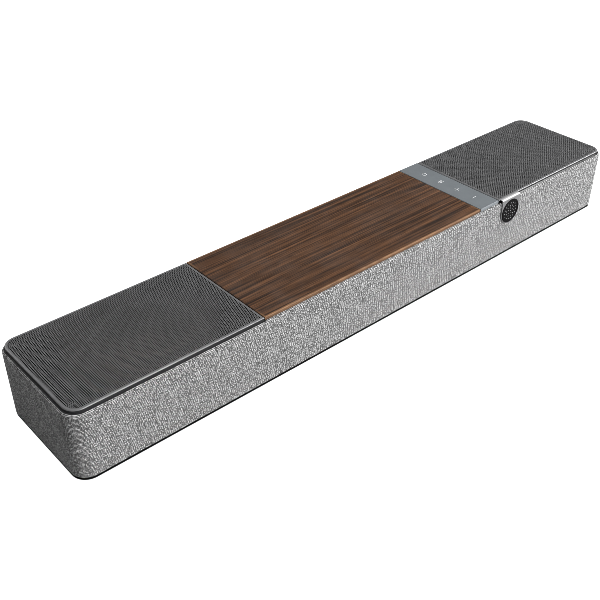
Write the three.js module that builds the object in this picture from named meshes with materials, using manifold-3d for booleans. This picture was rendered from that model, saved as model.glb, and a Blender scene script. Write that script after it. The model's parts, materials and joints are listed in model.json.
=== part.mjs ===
// A compact soundbar: a fabric-wrapped cabinet with two up-firing woofers under perforated steel grilles,
// two full-range drivers behind the front cloth, a walnut top panel, a touch strip and a rear connector bay.
// Millimetres, +Z up, +X along the length to the right, -Y to the front. The origin is the bottom centre.
import * as THREE from "three";
import { mergeVertices } from "three/addons/utils/BufferGeometryUtils.js";
import Module from "manifold-3d";

const wasm = await Module();
wasm.setup();

// ---- Overall size -------------------------------------------------------------------------------------
const LENGTH = 711; // end to end
const DEPTH = 124; // front cloth to rear cloth
const HEIGHT = 74; // floor to the top of the panels
const CORNER = 15.2; // plan radius of the cabinet's four corners

// ---- Clearances ---------------------------------------------------------------------------------------
const TOUCH = 0.3; // between two pieces that touch
const SEAM_GAP = 0.6; // visible joint between two top panels
const RUNNING = 0.4; // beside a piece that moves

// ---- Cabinet ------------------------------------------------------------------------------------------
const WALL = 6; // thickness of the boards
const CLOTH = 1.2; // thickness of the cloth on its backing
const FOOT_PROUD = 1.5; // height of the base plate above the floor
const FOOT_THICK = 2.0;
const FOOT_LENGTH = 38;
const FOOT_WIDTH = 12;
const FOOT_FROM_END = 62;
const FOOT_FROM_FACE = 20;
const BASE_EDGE = 1.5; // thickness of the base plate's visible edge
const BASE_INSET = 0.8; // base plate edge behind the cloth
const BASE_SPIGOT = 2.0; // height of the step that locates the base plate inside the boards
const DECK = 4; // thickness of the top deck
const DECK_DROP = 12.5; // deck top below the panels' top
const DIVIDER = 4;
const DIVIDER_FROM_END = 170.5;
const CORNER_SEAM = 7; // straight length that an end cap adds past its rounded corners

// ---- Top panels ---------------------------------------------------------------------------------------
const TOP_INSET = 2.8; // panel edge behind the cloth's face
const LIP = 3.4; // how far the cloth folds in over the boards
const GRILLE_THICK = 1.4;
const GRILLE_LENGTH = 190.8;
const STRIP_LENGTH = 30;
const PANEL_THICK = 3.2; // wood panel and touch strip at their edge; the folded cloth lies just below
const PANEL_TONGUE = 3.2; // locating step below them
const RIB = 4;
const RIB_FROM_CENTRE = 30;

// ---- Badge --------------------------------------------------------------------------------------------
const BADGE_TO_JOINT = 1.65; // folded tab from the right grille's inner end
const BADGE_RADIUS = 13.9; // round emblem
const BADGE_MARGIN = 0.75; // metal showing round the emblem
const BADGE_DROP = 16.8; // emblem centre below the panels' top
const BADGE_SHEET = 1; // thickness of the folded metal
const EMBLEM_THICK = 0.6;

// ---- Drivers: radii are about the driver's own axis, heights from the front face of its flange ---------
const WOOFER = {
  fromEnd: 112.5,
  flange: 52,
  seat: 47,
  flangeThick: 2,
  coneRadius: 36.6,
  coneDepth: 13.5,
  roll: 4.3,
  basketDepth: 27.5,
  basketBottom: 34,
  magnet: 36,
  magnetThick: 19,
  coil: 12.6,
  paper: 0.8,
  lip: 51, // outer radius of the surround's flat lip
  travel: 4,
  segments: 24,
};
const MIDRANGE = {
  fromEnd: 53.5,
  flange: 25,
  seat: 22.6,
  flangeThick: 1.6,
  coneRadius: 16.6,
  coneDepth: 6.5,
  roll: 2.2,
  basketDepth: 13,
  basketBottom: 16,
  magnet: 17,
  magnetThick: 13,
  coil: 6.8,
  paper: 0.7,
  lip: 22.3,
  travel: 1.5,
  segments: 16,
};
const MIDRANGE_Z = 31; // height of the front drivers' axis above the floor

// ---- Rear panel and connectors ------------------------------------------------------------------------
const REAR_PANEL = 302; // length of the moulded panel between the rear boards
const WINDOW = { length: 296, low: 12, high: 56 }; // where the panel shows through the cloth
const BAY = { length: 214, low: 20, high: 48, depth: 13.6, wall: 2 };
const REAR_FACE_INSET = 0.4; // panel face behind the cloth's face
const SOCKET_PROUD = 1.2; // how far sockets stand out of the bay's floor
const SOCKET_Z = 34;
const AC_INLET = { x: -80, width: 22, height: 16, deep: 18, slot: 16.4, slotHeight: 9.4, slotDeep: 13.5 };
const AC_PIN = { radius: 1.2, pitch: 8.6, length: 10.5, block: 2 };
const HDMI = {
  x: -22,
  width: 17.4,
  height: 8,
  deep: 13,
  slot: 14.4,
  slotHeight: 5,
  slotDeep: 10.5,
  tongue: { width: 11, thick: 1.4, long: 8.5, up: 0 },
};
const OPTICAL = { x: 14, width: 13.4, height: 13.4, deep: 14.5, slot: 9.4, slotHeight: 9.4, slotDeep: 11 };
const USB = {
  x: 46,
  width: 15,
  height: 7.8,
  deep: 14,
  slot: 12.6,
  slotHeight: 5.2,
  slotDeep: 11,
  tongue: { width: 11, thick: 1.9, long: 9, up: 0.6 },
};
const SHUTTER = { thick: 0.8, aboveAxis: 0.3, setBack: 0.5 };
const RCA = { x: 84, flange: 6.4, flangeThick: 2.2, barrel: 4.2, barrelLong: 9, hole: 1.8, holeDeep: 8 };

// ---- Wall-hanging plates ------------------------------------------------------------------------------
const KEYHOLE = {
  fromEnd: 115.5,
  z: 40,
  length: 26,
  height: 30,
  thick: 2,
  hole: 4.9,
  slot: 2.4,
  rise: 9,
  pocket: 3.4,
  showBehindFace: 0.5,
};

// ---- Screws and electronics ---------------------------------------------------------------------------
const SCREW = { fromEnd: 188, head: 3, headThick: 1.1, shank: 1.5, length: 11 };
const BOARD_THICK = 1.6;
const BOARD_Z = 10;
const BOARD_CLEAR = 6; // boards to the walls around them
const TRANSFORMER = { length: 30, width: 26, height: 20 };
const CAPACITOR = { radius: 9, length: 32 };
const SINK = { length: 66, height: 24, foot: 3, fin: 1.6, pitch: 5.2, fins: 6 };
const TOUCH_BOARD = { width: 22, thick: 1.6 };
const DISPLAY = { x: 105, length: 64, height: 16, deep: 7, z: 42 };
const LOOM = { radius: 2, sides: 8, steps: 18, hole: 4, z: 24, y: 20 };

const ARC = 4; // half the segments in a quarter round of an outline

// ---- Levels and faces worked out from the sizes above --------------------------------------------------
const halfLength = LENGTH / 2;
const halfDepth = DEPTH / 2;
const boardOuter = CLOTH + TOUCH; // insets from the cloth's face
const boardInner = boardOuter + WALL;
const raisedOuter = boardOuter + LIP; // raised rail behind the folded cloth
const baseTop = FOOT_PROUD + BASE_EDGE;
const boardLow = baseTop + TOUCH;
const ledgeTop = HEIGHT - PANEL_THICK - TOUCH; // top of the folded cloth
const boardHigh = ledgeTop - CLOTH - TOUCH;
const grilleLow = HEIGHT - GRILLE_THICK;
const railHigh = grilleLow - TOUCH;
const deckTop = HEIGHT - DECK_DROP;
const deckLow = deckTop - DECK;
const panelLow = HEIGHT - PANEL_THICK;
const panelEdge = halfDepth - TOP_INSET; // |y| of the panels' long edges
const topEnd = halfLength - TOP_INSET; // |x| of the grilles' outer ends
const leftGrilleEnd = -topEnd + GRILLE_LENGTH;
const rightGrilleStart = topEnd - GRILLE_LENGTH;
const stripStart = rightGrilleStart - SEAM_GAP - STRIP_LENGTH;
const woodStart = leftGrilleEnd + SEAM_GAP;
const woodEnd = stripStart - SEAM_GAP;
const capSeam = halfLength - CORNER - CORNER_SEAM;
const innerY = halfDepth - boardInner; // |y| of the boards' inner faces
const dividerX = halfLength - DIVIDER_FROM_END;
const rearFace = halfDepth - REAR_FACE_INSET;
const bayFloor = rearFace - BAY.depth;
const socketFace = bayFloor + SOCKET_PROUD;

// ---- Solids -------------------------------------------------------------------------------------------

// A closed three.js geometry as a solid that can be joined and cut.
function solidOf(geometry) {
  const bare = geometry.index ? geometry.toNonIndexed() : geometry.clone();
  bare.deleteAttribute("normal");
  bare.deleteAttribute("uv");
  const merged = mergeVertices(bare, 1e-3);
  const kept = [];
  const index = merged.index.array;
  for (let i = 0; i < index.length; i += 3) {
    const [a, b, c] = [index[i], index[i + 1], index[i + 2]];
    if (a !== b && b !== c && c !== a) kept.push(a, b, c);
  }
  const mesh = new wasm.Mesh({
    numProp: 3,
    vertProperties: merged.attributes.position.array,
    triVerts: new Uint32Array(kept),
  });
  return new wasm.Manifold(mesh);
}

// The solid's faces as a geometry for a mesh.
function geometryOf(solid) {
  const mesh = solid.getMesh();
  const geometry = new THREE.BufferGeometry();
  geometry.setAttribute("position", new THREE.BufferAttribute(mesh.vertProperties, 3));
  geometry.setIndex(new THREE.BufferAttribute(mesh.triVerts, 1));
  geometry.computeVertexNormals();
  return geometry;
}

// A box between two corners.
function box([x0, y0, z0], [x1, y1, z1]) {
  const geometry = new THREE.BoxGeometry(x1 - x0, y1 - y0, z1 - z0);
  return solidOf(geometry.translate((x0 + x1) / 2, (y0 + y1) / 2, (z0 + z1) / 2));
}

// A rectangle between two corners, with a radius for each: front left, front right, rear right, rear left.
function rectangle(x0, y0, x1, y1, [fl, fr, rr, rl] = [0, 0, 0, 0]) {
  const shape = new THREE.Shape();
  shape.moveTo(x0 + fl, y0);
  shape.lineTo(x1 - fr, y0);
  if (fr) shape.absarc(x1 - fr, y0 + fr, fr, -Math.PI / 2, 0, false);
  shape.lineTo(x1, y1 - rr);
  if (rr) shape.absarc(x1 - rr, y1 - rr, rr, 0, Math.PI / 2, false);
  shape.lineTo(x0 + rl, y1);
  if (rl) shape.absarc(x0 + rl, y1 - rl, rl, Math.PI / 2, Math.PI, false);
  shape.lineTo(x0, y0 + fl);
  if (fl) shape.absarc(x0 + fl, y0 + fl, fl, Math.PI, 1.5 * Math.PI, false);
  shape.closePath();
  return shape;
}

// The cabinet's plan outline, moved inwards.
function outline(inset) {
  const [x, y, r] = [halfLength - inset, halfDepth - inset, CORNER - inset];
  return rectangle(-x, -y, x, y, [r, r, r, r]);
}

// A flat outline given a thickness, from z0 up to z1.
function slab(shape, z0, z1) {
  const settings = { depth: z1 - z0, bevelEnabled: false, curveSegments: ARC };
  return solidOf(new THREE.ExtrudeGeometry(shape, settings).translate(0, 0, z0));
}

// An outline drawn in X and Z, given a thickness from y0 to y1.
function upright(shape, y0, y1) {
  const settings = { depth: y1 - y0, bevelEnabled: false, curveSegments: ARC };
  const geometry = new THREE.ExtrudeGeometry(shape, settings);
  return solidOf(geometry.rotateX(Math.PI / 2).translate(0, y1, 0));
}

// A rod along Y or Z between two stations.
function rod(axis, radius, from, to, [a, b], segments = 16) {
  const geometry = new THREE.CylinderGeometry(radius, radius, to - from, segments);
  if (axis === "z") geometry.rotateX(Math.PI / 2).translate(a, b, (from + to) / 2);
  else geometry.translate(a, (from + to) / 2, b);
  return solidOf(geometry);
}

// A closed profile of [radius, height] points turned about Z.
function turned(profile, segments) {
  const area = profile.reduce((sum, [r, z], i) => {
    const [r2, z2] = profile[(i + 1) % profile.length];
    return sum + r * z2 - r2 * z;
  }, 0);
  const ordered = area > 0 ? profile : [...profile].reverse();
  const points = [...ordered, ordered[0]].map(([r, z]) => new THREE.Vector2(r, z));
  return solidOf(new THREE.LatheGeometry(points, segments).rotateX(Math.PI / 2));
}

function joined(...solids) {
  return solids.reduce((a, b) => a.add(b));
}

// ---- Materials ----------------------------------------------------------------------------------------
function material(color, roughness, metalness = 0) {
  return new THREE.MeshStandardMaterial({ color, roughness, metalness });
}
const BLACK_PLASTIC = material(0x151515, 0.55);
const BOARD = material(0x1c1b1a, 0.8);
const CLOTH_GREY = material(0x9a9a9a, 0.95);
const WALNUT = material(0x5a3b27, 0.5);
const STRIP_GREY = material(0x7d868a, 0.4);
const GRILLE_GREY = material(0x5d5e60, 0.45, 0.6);
const EMBLEM_BLACK = material(0x101012, 0.3);
const RUBBER = material(0x0c0c0c, 0.9);
const STEEL = material(0xb4b7ba, 0.35, 1);
const FERRITE = material(0x2b2b2d, 0.6, 0.2);
const PAPER = material(0x1f1f21, 0.85);
const BOARD_GREEN = material(0x1d4a33, 0.5);
const ALUMINIUM = material(0xa9acb0, 0.4, 1);

const soundbar = new THREE.Group();

// Adds one named piece to the soundbar.
function piece(name, solid, finish) {
  const mesh = new THREE.Mesh(geometryOf(solid), finish);
  mesh.name = name;
  soundbar.add(mesh);
  return mesh;
}

const SIDES = [
  ["left", -1],
  ["right", 1],
];

// ---- Base plate, feet and screws ----------------------------------------------------------------------
const footX = halfLength - FOOT_FROM_END;
const footY = halfDepth - FOOT_FROM_FACE;
const screwX = halfLength - SCREW.fromEnd;
const screwY = halfDepth - boardOuter - WALL / 2;
const CORNERS = SIDES.flatMap(([side, sx]) => [
  ["front_" + side, sx, -1],
  ["rear_" + side, sx, 1],
]);

function footShape(x, y, grow) {
  const [l, w] = [FOOT_LENGTH / 2 + grow, FOOT_WIDTH / 2 + grow];
  return rectangle(x - l, y - w, x + l, y + w, [w, w, w, w].map((r) => r - 0.01));
}

// Clearance round a screw's shank, from below the base plate into the board above it.
function screwHole(sx, sy) {
  const radius = SCREW.shank + TOUCH;
  const top = FOOT_PROUD + SCREW.length + TOUCH;
  return rod("z", radius, FOOT_PROUD - 1, top, [sx * screwX, sy * screwY], 12);
}

let basePlate = joined(
  slab(outline(BASE_INSET), FOOT_PROUD, baseTop),
  slab(outline(boardInner + TOUCH), FOOT_PROUD, baseTop + BASE_SPIGOT),
);
for (const [name, sx, sy] of CORNERS) {
  const [x, y] = [sx * footX, sy * footY];
  const recess = slab(footShape(x, y, TOUCH), FOOT_PROUD - 1, FOOT_THICK + TOUCH);
  basePlate = basePlate.subtract(recess).subtract(screwHole(sx, sy));
  piece("foot_" + name, slab(footShape(x, y, 0), 0, FOOT_THICK), RUBBER);
  const at = [sx * screwX, sy * screwY];
  const headLow = FOOT_PROUD - TOUCH / 2 - SCREW.headThick;
  const screw = joined(
    rod("z", SCREW.head, headLow, headLow + SCREW.headThick, at, 16),
    rod("z", SCREW.shank, headLow, FOOT_PROUD + SCREW.length, at, 12),
  );
  piece("base_screw_" + name, screw, STEEL);
}
piece("base_plate", basePlate, BLACK_PLASTIC);

// ---- Boards, cut from one ring of wall -----------------------------------------------------------------
const tall = HEIGHT * 2;
const wide = LENGTH * 2;
let wall = slab(outline(boardOuter), boardLow, boardHigh).subtract(
  slab(outline(boardInner), -tall, tall),
);
const rail = slab(outline(raisedOuter), boardLow, railHigh)
  .subtract(slab(outline(boardInner), -tall, tall))
  .subtract(box([leftGrilleEnd, -wide, -tall], [rightGrilleStart, wide, tall]));
wall = wall.add(rail);
for (const [, sx, sy] of CORNERS) wall = wall.subtract(screwHole(sx, sy));

const midX = halfLength - MIDRANGE.fromEnd;
const seamIn = capSeam - TOUCH / 2;
const seamOut = capSeam + TOUCH / 2;
let frontBoard = wall.intersect(box([-seamIn, -wide, -tall], [seamIn, 0, tall]));
for (const [, sx] of SIDES) {
  const opening = MIDRANGE.seat + TOUCH;
  frontBoard = frontBoard.subtract(rod("y", opening, -wide, 0, [sx * midX, MIDRANGE_Z], 24));
}
const displayHalf = [DISPLAY.length / 2 - 2, DISPLAY.height / 2 - 2];
frontBoard = frontBoard.subtract(
  box(
    [DISPLAY.x - displayHalf[0], -wide, DISPLAY.z - displayHalf[1]],
    [DISPLAY.x + displayHalf[0], 0, DISPLAY.z + displayHalf[1]],
  ),
);
piece("front_board", frontBoard, BOARD);

// A keyhole's outline: a round hole with a narrow slot above it. Grow widens it for the pocket behind.
function keyhole(x, z, grow) {
  const [r, s] = [KEYHOLE.hole + grow, KEYHOLE.slot + grow];
  const hole = new THREE.Shape().absarc(x, z, r, 0, 2 * Math.PI, false);
  const slot = rectangle(x - s, z, x + s, z + KEYHOLE.rise + grow, [0, 0, s - 0.01, s - 0.01]);
  return [hole, slot];
}
const keyX = halfLength - KEYHOLE.fromEnd;
const keyFace = halfDepth - KEYHOLE.showBehindFace;
const keyBack = keyFace - KEYHOLE.thick;
const keyLow = KEYHOLE.z - KEYHOLE.height / 2;
const keyHigh = KEYHOLE.z + KEYHOLE.height / 2;
const keyHoleZ = KEYHOLE.z - KEYHOLE.rise / 2;

for (const [side, sx] of SIDES) {
  const near = REAR_PANEL / 2 + TOUCH;
  const [x0, x1] = sx > 0 ? [near, seamIn] : [-seamIn, -near];
  const x = sx * keyX;
  const plateHalf = KEYHOLE.length / 2;
  let board = wall.intersect(box([x0, 0, -tall], [x1, wide, tall]));
  const grow = TOUCH;
  board = board.subtract(
    box([x - plateHalf - grow, keyBack - TOUCH, keyLow - grow], [x + plateHalf + grow, wide, keyHigh + grow]),
  );
  const head = KEYHOLE.hole + 1; // the pocket leaves room for a screw's head all the way up the slot
  board = board.subtract(
    box(
      [x - head, keyBack - KEYHOLE.pocket, keyHoleZ - head],
      [x + head, keyBack, keyHoleZ + KEYHOLE.rise + head],
    ),
  );
  piece("rear_board_" + side, board, BOARD);

  let plate = upright(
    rectangle(x - plateHalf, keyLow, x + plateHalf, keyHigh, [3, 3, 3, 3]),
    keyBack,
    keyFace,
  );
  for (const cut of keyhole(x, keyHoleZ, 0)) plate = plate.subtract(upright(cut, keyBack - 1, keyFace + 1));
  piece("keyhole_plate_" + side, plate, STEEL);

  const [c0, c1] = sx > 0 ? [seamOut, wide] : [-wide, -seamOut];
  piece("end_cap_" + side, wall.intersect(box([c0, -wide, -tall], [c1, wide, tall])), BOARD);

  const [d0, d1] = [sx * dividerX - DIVIDER / 2, sx * dividerX + DIVIDER / 2];
  const low = baseTop + BASE_SPIGOT + TOUCH;
  const reach = innerY - TOUCH;
  let divider = box([d0, -reach, low], [d1, reach, deckLow - TOUCH]);
  const passage = new THREE.CylinderGeometry(LOOM.hole, LOOM.hole, DIVIDER * 3, 12);
  passage.rotateZ(Math.PI / 2).translate(sx * dividerX, LOOM.y, LOOM.z);
  divider = divider.subtract(solidOf(passage));
  piece("divider_" + side, divider, BOARD);
}

// ---- Top deck with its ribs ---------------------------------------------------------------------------
const wooferX = halfLength - WOOFER.fromEnd;
let deck = slab(outline(boardInner + TOUCH), deckLow, deckTop);
const ribLong = (y) =>
  box(
    [woodStart + RIB, y - RIB / 2, deckTop - 1],
    [woodEnd - RIB, y + RIB / 2, panelLow - PANEL_TONGUE - TOUCH],
  );
deck = joined(deck, ribLong(-RIB_FROM_CENTRE), ribLong(RIB_FROM_CENTRE));
for (const x of [leftGrilleEnd - RIB, rightGrilleStart]) {
  const reach = innerY - TOUCH;
  deck = deck.add(box([x, -reach, deckTop - 1], [x + RIB, reach, railHigh]));
}
for (const [, sx] of SIDES) {
  const hole = rod("z", WOOFER.seat + TOUCH, -tall, tall, [sx * wooferX, 0], WOOFER.segments);
  deck = deck.subtract(hole);
}
piece("top_deck", deck, BOARD);

// ---- Cloth: a band round the cabinet, folded in over the boards' top edge ------------------------------
const FOLD_ROUND = 2.4; // rounding of the folded edge
const foldSteps = 3;
let cloth = slab(outline(0), boardLow, ledgeTop - FOLD_ROUND);
for (let i = 0; i < foldSteps; i++) {
  const [a, b] = [i, i + 1].map((k) => (k / foldSteps) * (Math.PI / 2));
  const inset = FOLD_ROUND * (1 - Math.cos((a + b) / 2));
  const [z0, z1] = [a, b].map((t) => ledgeTop - FOLD_ROUND + FOLD_ROUND * Math.sin(t));
  cloth = cloth.add(slab(outline(inset), z0, z1));
}
cloth = cloth
  .subtract(slab(outline(CLOTH), -tall, boardHigh + TOUCH))
  .subtract(slab(outline(raisedOuter - TOUCH), -tall, tall))
  .subtract(
    box(
      [-WINDOW.length / 2 - TOUCH, 0, WINDOW.low - TOUCH],
      [WINDOW.length / 2 + TOUCH, wide, WINDOW.high + TOUCH],
    ),
  );
for (const [, sx] of SIDES) {
  const x = sx * keyX;
  const half = KEYHOLE.length / 2 + TOUCH;
  cloth = cloth.subtract(box([x - half, 0, keyLow - TOUCH], [x + half, wide, keyHigh + TOUCH]));
}
piece("fabric_wrap", cloth, CLOTH_GREY);

// ---- Wood panel and touch strip ------------------------------------------------------------------------
const TONGUE_INSET = 7; // the step below a panel stands this far in from its long edges
const TONGUE_SIDE = 1.4; // and this far in from its short ones
function topPanel(x0, x1) {
  return joined(
    box([x0, -panelEdge, panelLow], [x1, panelEdge, HEIGHT]),
    box(
      [x0 + TONGUE_SIDE, -panelEdge + TONGUE_INSET, panelLow - PANEL_TONGUE],
      [x1 - TONGUE_SIDE, panelEdge - TONGUE_INSET, panelLow + 1],
    ),
  );
}
piece("wood_panel", topPanel(woodStart, woodEnd), WALNUT);
piece("control_strip", topPanel(stripStart, stripStart + STRIP_LENGTH), STRIP_GREY);

const stripCentre = stripStart + STRIP_LENGTH / 2;
const touchTop = panelLow - PANEL_TONGUE - TOUCH;
const touchReach = RIB_FROM_CENTRE + 12;
piece(
  "touch_board",
  box(
    [stripCentre - TOUCH_BOARD.width / 2, -touchReach, touchTop - TOUCH_BOARD.thick],
    [stripCentre + TOUCH_BOARD.width / 2, touchReach, touchTop],
  ),
  BOARD_GREEN,
);

// ---- Grilles, and the badge folded from the right-hand one ---------------------------------------------
const plateRadius = CORNER - TOP_INSET;
const edgeRadius = 0.6;
function grille(x0, x1, radii) {
  return joined(
    slab(rectangle(x0, -panelEdge, x1, panelEdge, radii), grilleLow, HEIGHT - edgeRadius),
    slab(
      rectangle(
        x0 + edgeRadius / 2,
        -panelEdge + edgeRadius / 2,
        x1 - edgeRadius / 2,
        panelEdge - edgeRadius / 2,
        radii.map((r) => Math.max(r - edgeRadius / 2, 0)),
      ),
      grilleLow,
      HEIGHT,
    ),
  );
}
piece("grille_left", grille(-topEnd, leftGrilleEnd, [plateRadius, 0, 0, plateRadius]), GRILLE_GREY);

const tabHalf = BADGE_RADIUS + BADGE_MARGIN;
const badgeX = rightGrilleStart + BADGE_TO_JOINT + tabHalf;
const badgeZ = HEIGHT - BADGE_DROP;
const tabBack = -halfDepth - TOUCH;
const tabFront = tabBack - BADGE_SHEET;
const tongue = rectangle(badgeX - tabHalf, badgeZ - tabHalf, badgeX + tabHalf, HEIGHT, [
  tabHalf - 0.01,
  tabHalf - 0.01,
  0,
  0,
]);
const tab = joined(
  upright(tongue, tabFront, tabBack),
  box([badgeX - tabHalf, tabFront, grilleLow], [badgeX + tabHalf, -panelEdge + 1, HEIGHT]),
);
const rightGrille = grille(rightGrilleStart, topEnd, [0, plateRadius, plateRadius, 0]);
piece("grille_right", rightGrille.add(tab), GRILLE_GREY);
const emblemBack = tabFront - TOUCH / 2;
const emblemFront = emblemBack - EMBLEM_THICK;
piece("badge_emblem", rod("y", BADGE_RADIUS, emblemFront, emblemBack, [badgeX, badgeZ], 32), EMBLEM_BLACK);

// ---- Loudspeaker drivers -------------------------------------------------------------------------------

// The four solids of a driver that faces +Z, with the front face of its flange at height 0.
function driver(d) {
  const sheet = 1.4; // basket's steel
  const bottom = -d.basketDepth;
  const coilHole = d.coil + 3;
  const basket = turned(
    [
      [d.seat - 3, -d.flangeThick],
      [d.seat - 3, 0],
      [d.flange, 0],
      [d.flange, -d.flangeThick],
      [d.seat, -d.flangeThick],
      [d.seat - 1, -d.flangeThick - 3],
      [d.basketBottom, bottom],
      [coilHole, bottom],
      [coilHole, bottom + sheet],
      [d.basketBottom - sheet, bottom + sheet],
      [d.seat - 3, -d.flangeThick - 3],
    ],
    d.segments,
  );
  const windowLow = bottom + 5;
  const windowHigh = -d.flangeThick - 6;
  const half = d.basketBottom * 0.45;
  const windows = joined(
    box([-d.seat, -half, windowLow], [d.seat, half, windowHigh]),
    box([-half, -d.seat, windowLow], [half, d.seat, windowHigh]),
  );
  const magnetTop = bottom - TOUCH;
  const gapDeep = d.travel * 2 + 5;
  const magnet = turned(
    [
      [0, magnetTop - d.magnetThick],
      [d.magnet, magnetTop - d.magnetThick],
      [d.magnet, magnetTop],
      [d.coil + 1.4, magnetTop],
      [d.coil + 1.4, magnetTop - gapDeep],
      [d.coil - 1.4, magnetTop - gapDeep],
      [d.coil - 1.4, magnetTop],
      [0, magnetTop],
    ],
    d.segments,
  );
  // The surround is a half roll from beside the cone's edge to a flat lip on the flange.
  const rollIn = d.coneRadius + RUNNING;
  const rollOut = rollIn + 2 * d.roll;
  const skin = 0.7;
  const arc = (radius, count, back) =>
    Array.from({ length: count + 1 }, (_, i) => {
      const t = Math.PI * (back ? i : count - i) / count;
      return [rollIn + d.roll + radius * Math.cos(t), TOUCH + radius * Math.sin(t)];
    });
  const surround = turned(
    [
      ...arc(d.roll, 4, false),
      [d.lip, TOUCH],
      [d.lip, TOUCH + skin],
      [Math.min(rollOut + skin, d.lip - 0.1), TOUCH + skin],
      ...arc(d.roll + skin * 0.9, 4, true).slice(1, -1),
      [rollIn, TOUCH + skin],
    ],
    d.segments,
  );
  const coneTop = TOUCH + skin;
  const coneLow = coneTop - d.coneDepth;
  const coilLow = magnetTop - d.travel - 1.5;
  const cone = turned(
    [
      [d.coneRadius, coneTop - d.paper],
      [d.coneRadius, coneTop],
      [d.coneRadius - 1.2, coneTop],
      [d.coil + 0.4, coneLow + d.paper],
      [d.coil - 0.4, coneLow + d.paper],
      [d.coil - 0.4, coilLow],
      [d.coil + 0.4, coilLow],
      [d.coil + 0.4, coneLow - d.paper],
    ],
    d.segments,
  );
  const capRadius = d.coil + 1.6;
  const slope = (coneTop - coneLow - d.paper) / (d.coneRadius - 1.2 - d.coil - 0.4);
  const capLow = coneLow + d.paper + (capRadius - d.coil - 0.4) * slope + TOUCH;
  const capRise = capRadius * 0.3;
  const dome = (lift) => [1, 0.7, 0.35, 0].map((s) => [capRadius * s, capLow + lift + capRise * (1 - s * s)]);
  const cap = turned([...dome(0), ...dome(d.paper).reverse()], d.segments);
  const capped = cone.add(cap.translate([0, 0, -TOUCH - 0.2])); // the dust cap is glued to its cone
  return { basket: basket.subtract(windows), magnet, surround, cone: capped };
}

const woofer = driver(WOOFER);
const midrange = driver(MIDRANGE);
const wooferFace = deckTop + TOUCH + WOOFER.flangeThick;
const midFace = -innerY + TOUCH;
const COATED = { basket: STEEL, magnet: FERRITE, surround: RUBBER, cone: PAPER };

for (const [side, sx] of SIDES) {
  for (const [part, solid] of Object.entries(woofer)) {
    const mesh = piece(`woofer_${part}_${side}`, solid, COATED[part]);
    mesh.position.set(sx * wooferX, 0, wooferFace);
  }
  for (const [part, solid] of Object.entries(midrange)) {
    const mesh = piece(`midrange_${part}_${side}`, solid, COATED[part]);
    mesh.position.set(sx * midX, midFace, MIDRANGE_Z);
    mesh.rotation.x = Math.PI / 2;
  }
}

// ---- Rear panel with the connector bay -----------------------------------------------------------------
const panelHalf = REAR_PANEL / 2;
const windowHalf = WINDOW.length / 2;
const bayHalf = BAY.length / 2;
const rearPanel = joined(
  box([-panelHalf, innerY, boardLow], [panelHalf, halfDepth - boardOuter, boardHigh]),
  box([-windowHalf, innerY, WINDOW.low], [windowHalf, rearFace, WINDOW.high]),
  box(
    [-bayHalf - BAY.wall, bayFloor + TOUCH, BAY.low - BAY.wall],
    [bayHalf + BAY.wall, rearFace, BAY.high + BAY.wall],
  ),
).subtract(box([-bayHalf, -wide, BAY.low], [bayHalf, wide, BAY.high]));
piece("rear_panel", rearPanel, BLACK_PLASTIC);
let connectorPlate = box(
  [-bayHalf - BAY.wall, bayFloor - BAY.wall, BAY.low - BAY.wall],
  [bayHalf + BAY.wall, bayFloor, BAY.high + BAY.wall],
);

// A socket's body with a slot sunk from its rear face; cuts its own hole in the connector plate.
function socket(spec, slotShape) {
  const [w, h] = [spec.width / 2, spec.height / 2];
  const back = socketFace - spec.deep;
  const body = box([spec.x - w, back, SOCKET_Z - h], [spec.x + w, socketFace, SOCKET_Z + h]);
  connectorPlate = connectorPlate.subtract(
    box(
      [spec.x - w - TOUCH, back - 1, SOCKET_Z - h - TOUCH],
      [spec.x + w + TOUCH, socketFace, SOCKET_Z + h + TOUCH],
    ),
  );
  const floor = socketFace - spec.slotDeep;
  const hollow = body.subtract(upright(slotShape, floor, socketFace + 1));
  if (!spec.tongue) return hollow;
  const { width, thick, long, up } = spec.tongue;
  return hollow.add(
    box(
      [spec.x - width / 2, floor - 1, SOCKET_Z + up - thick / 2],
      [spec.x + width / 2, floor + long, SOCKET_Z + up + thick / 2],
    ),
  );
}

function slotOutline(spec, radii) {
  const [w, h] = [spec.slot / 2, spec.slotHeight / 2];
  return rectangle(spec.x - w, SOCKET_Z - h, spec.x + w, SOCKET_Z + h, radii);
}

const figureEight = AC_INLET.slotHeight / 2 - 0.01;
let acInlet = socket(AC_INLET, slotOutline(AC_INLET, [figureEight, figureEight, figureEight, figureEight]));
const acFloor = socketFace - AC_INLET.slotDeep;
const pinTip = acFloor + AC_PIN.length;
const blockBack = acFloor - 1.2 - AC_PIN.block;
let acPins = box(
  [AC_INLET.x - AC_PIN.pitch / 2 - 2, blockBack, SOCKET_Z - 2],
  [AC_INLET.x + AC_PIN.pitch / 2 + 2, blockBack + AC_PIN.block, SOCKET_Z + 2],
);
acInlet = acInlet.subtract(
  box(
    [AC_INLET.x - AC_PIN.pitch / 2 - 2 - TOUCH, -wide, SOCKET_Z - 2 - TOUCH],
    [AC_INLET.x + AC_PIN.pitch / 2 + 2 + TOUCH, blockBack + AC_PIN.block + TOUCH, SOCKET_Z + 2 + TOUCH],
  ),
);
for (const s of [-1, 1]) {
  const at = [AC_INLET.x + (s * AC_PIN.pitch) / 2, SOCKET_Z];
  acPins = acPins.add(rod("y", AC_PIN.radius, blockBack, pinTip, at, 12));
  acInlet = acInlet.subtract(rod("y", AC_PIN.radius + TOUCH, blockBack, acFloor + 1, at, 12));
}
piece("ac_inlet", acInlet, BLACK_PLASTIC);
piece("ac_pins", acPins, STEEL);
piece("hdmi_port", socket(HDMI, slotOutline(HDMI, [1.6, 1.6, 0.3, 0.3])), STEEL);
piece("optical_port", socket(OPTICAL, slotOutline(OPTICAL, [0.5, 0.5, 0, 0])), BLACK_PLASTIC);
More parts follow.
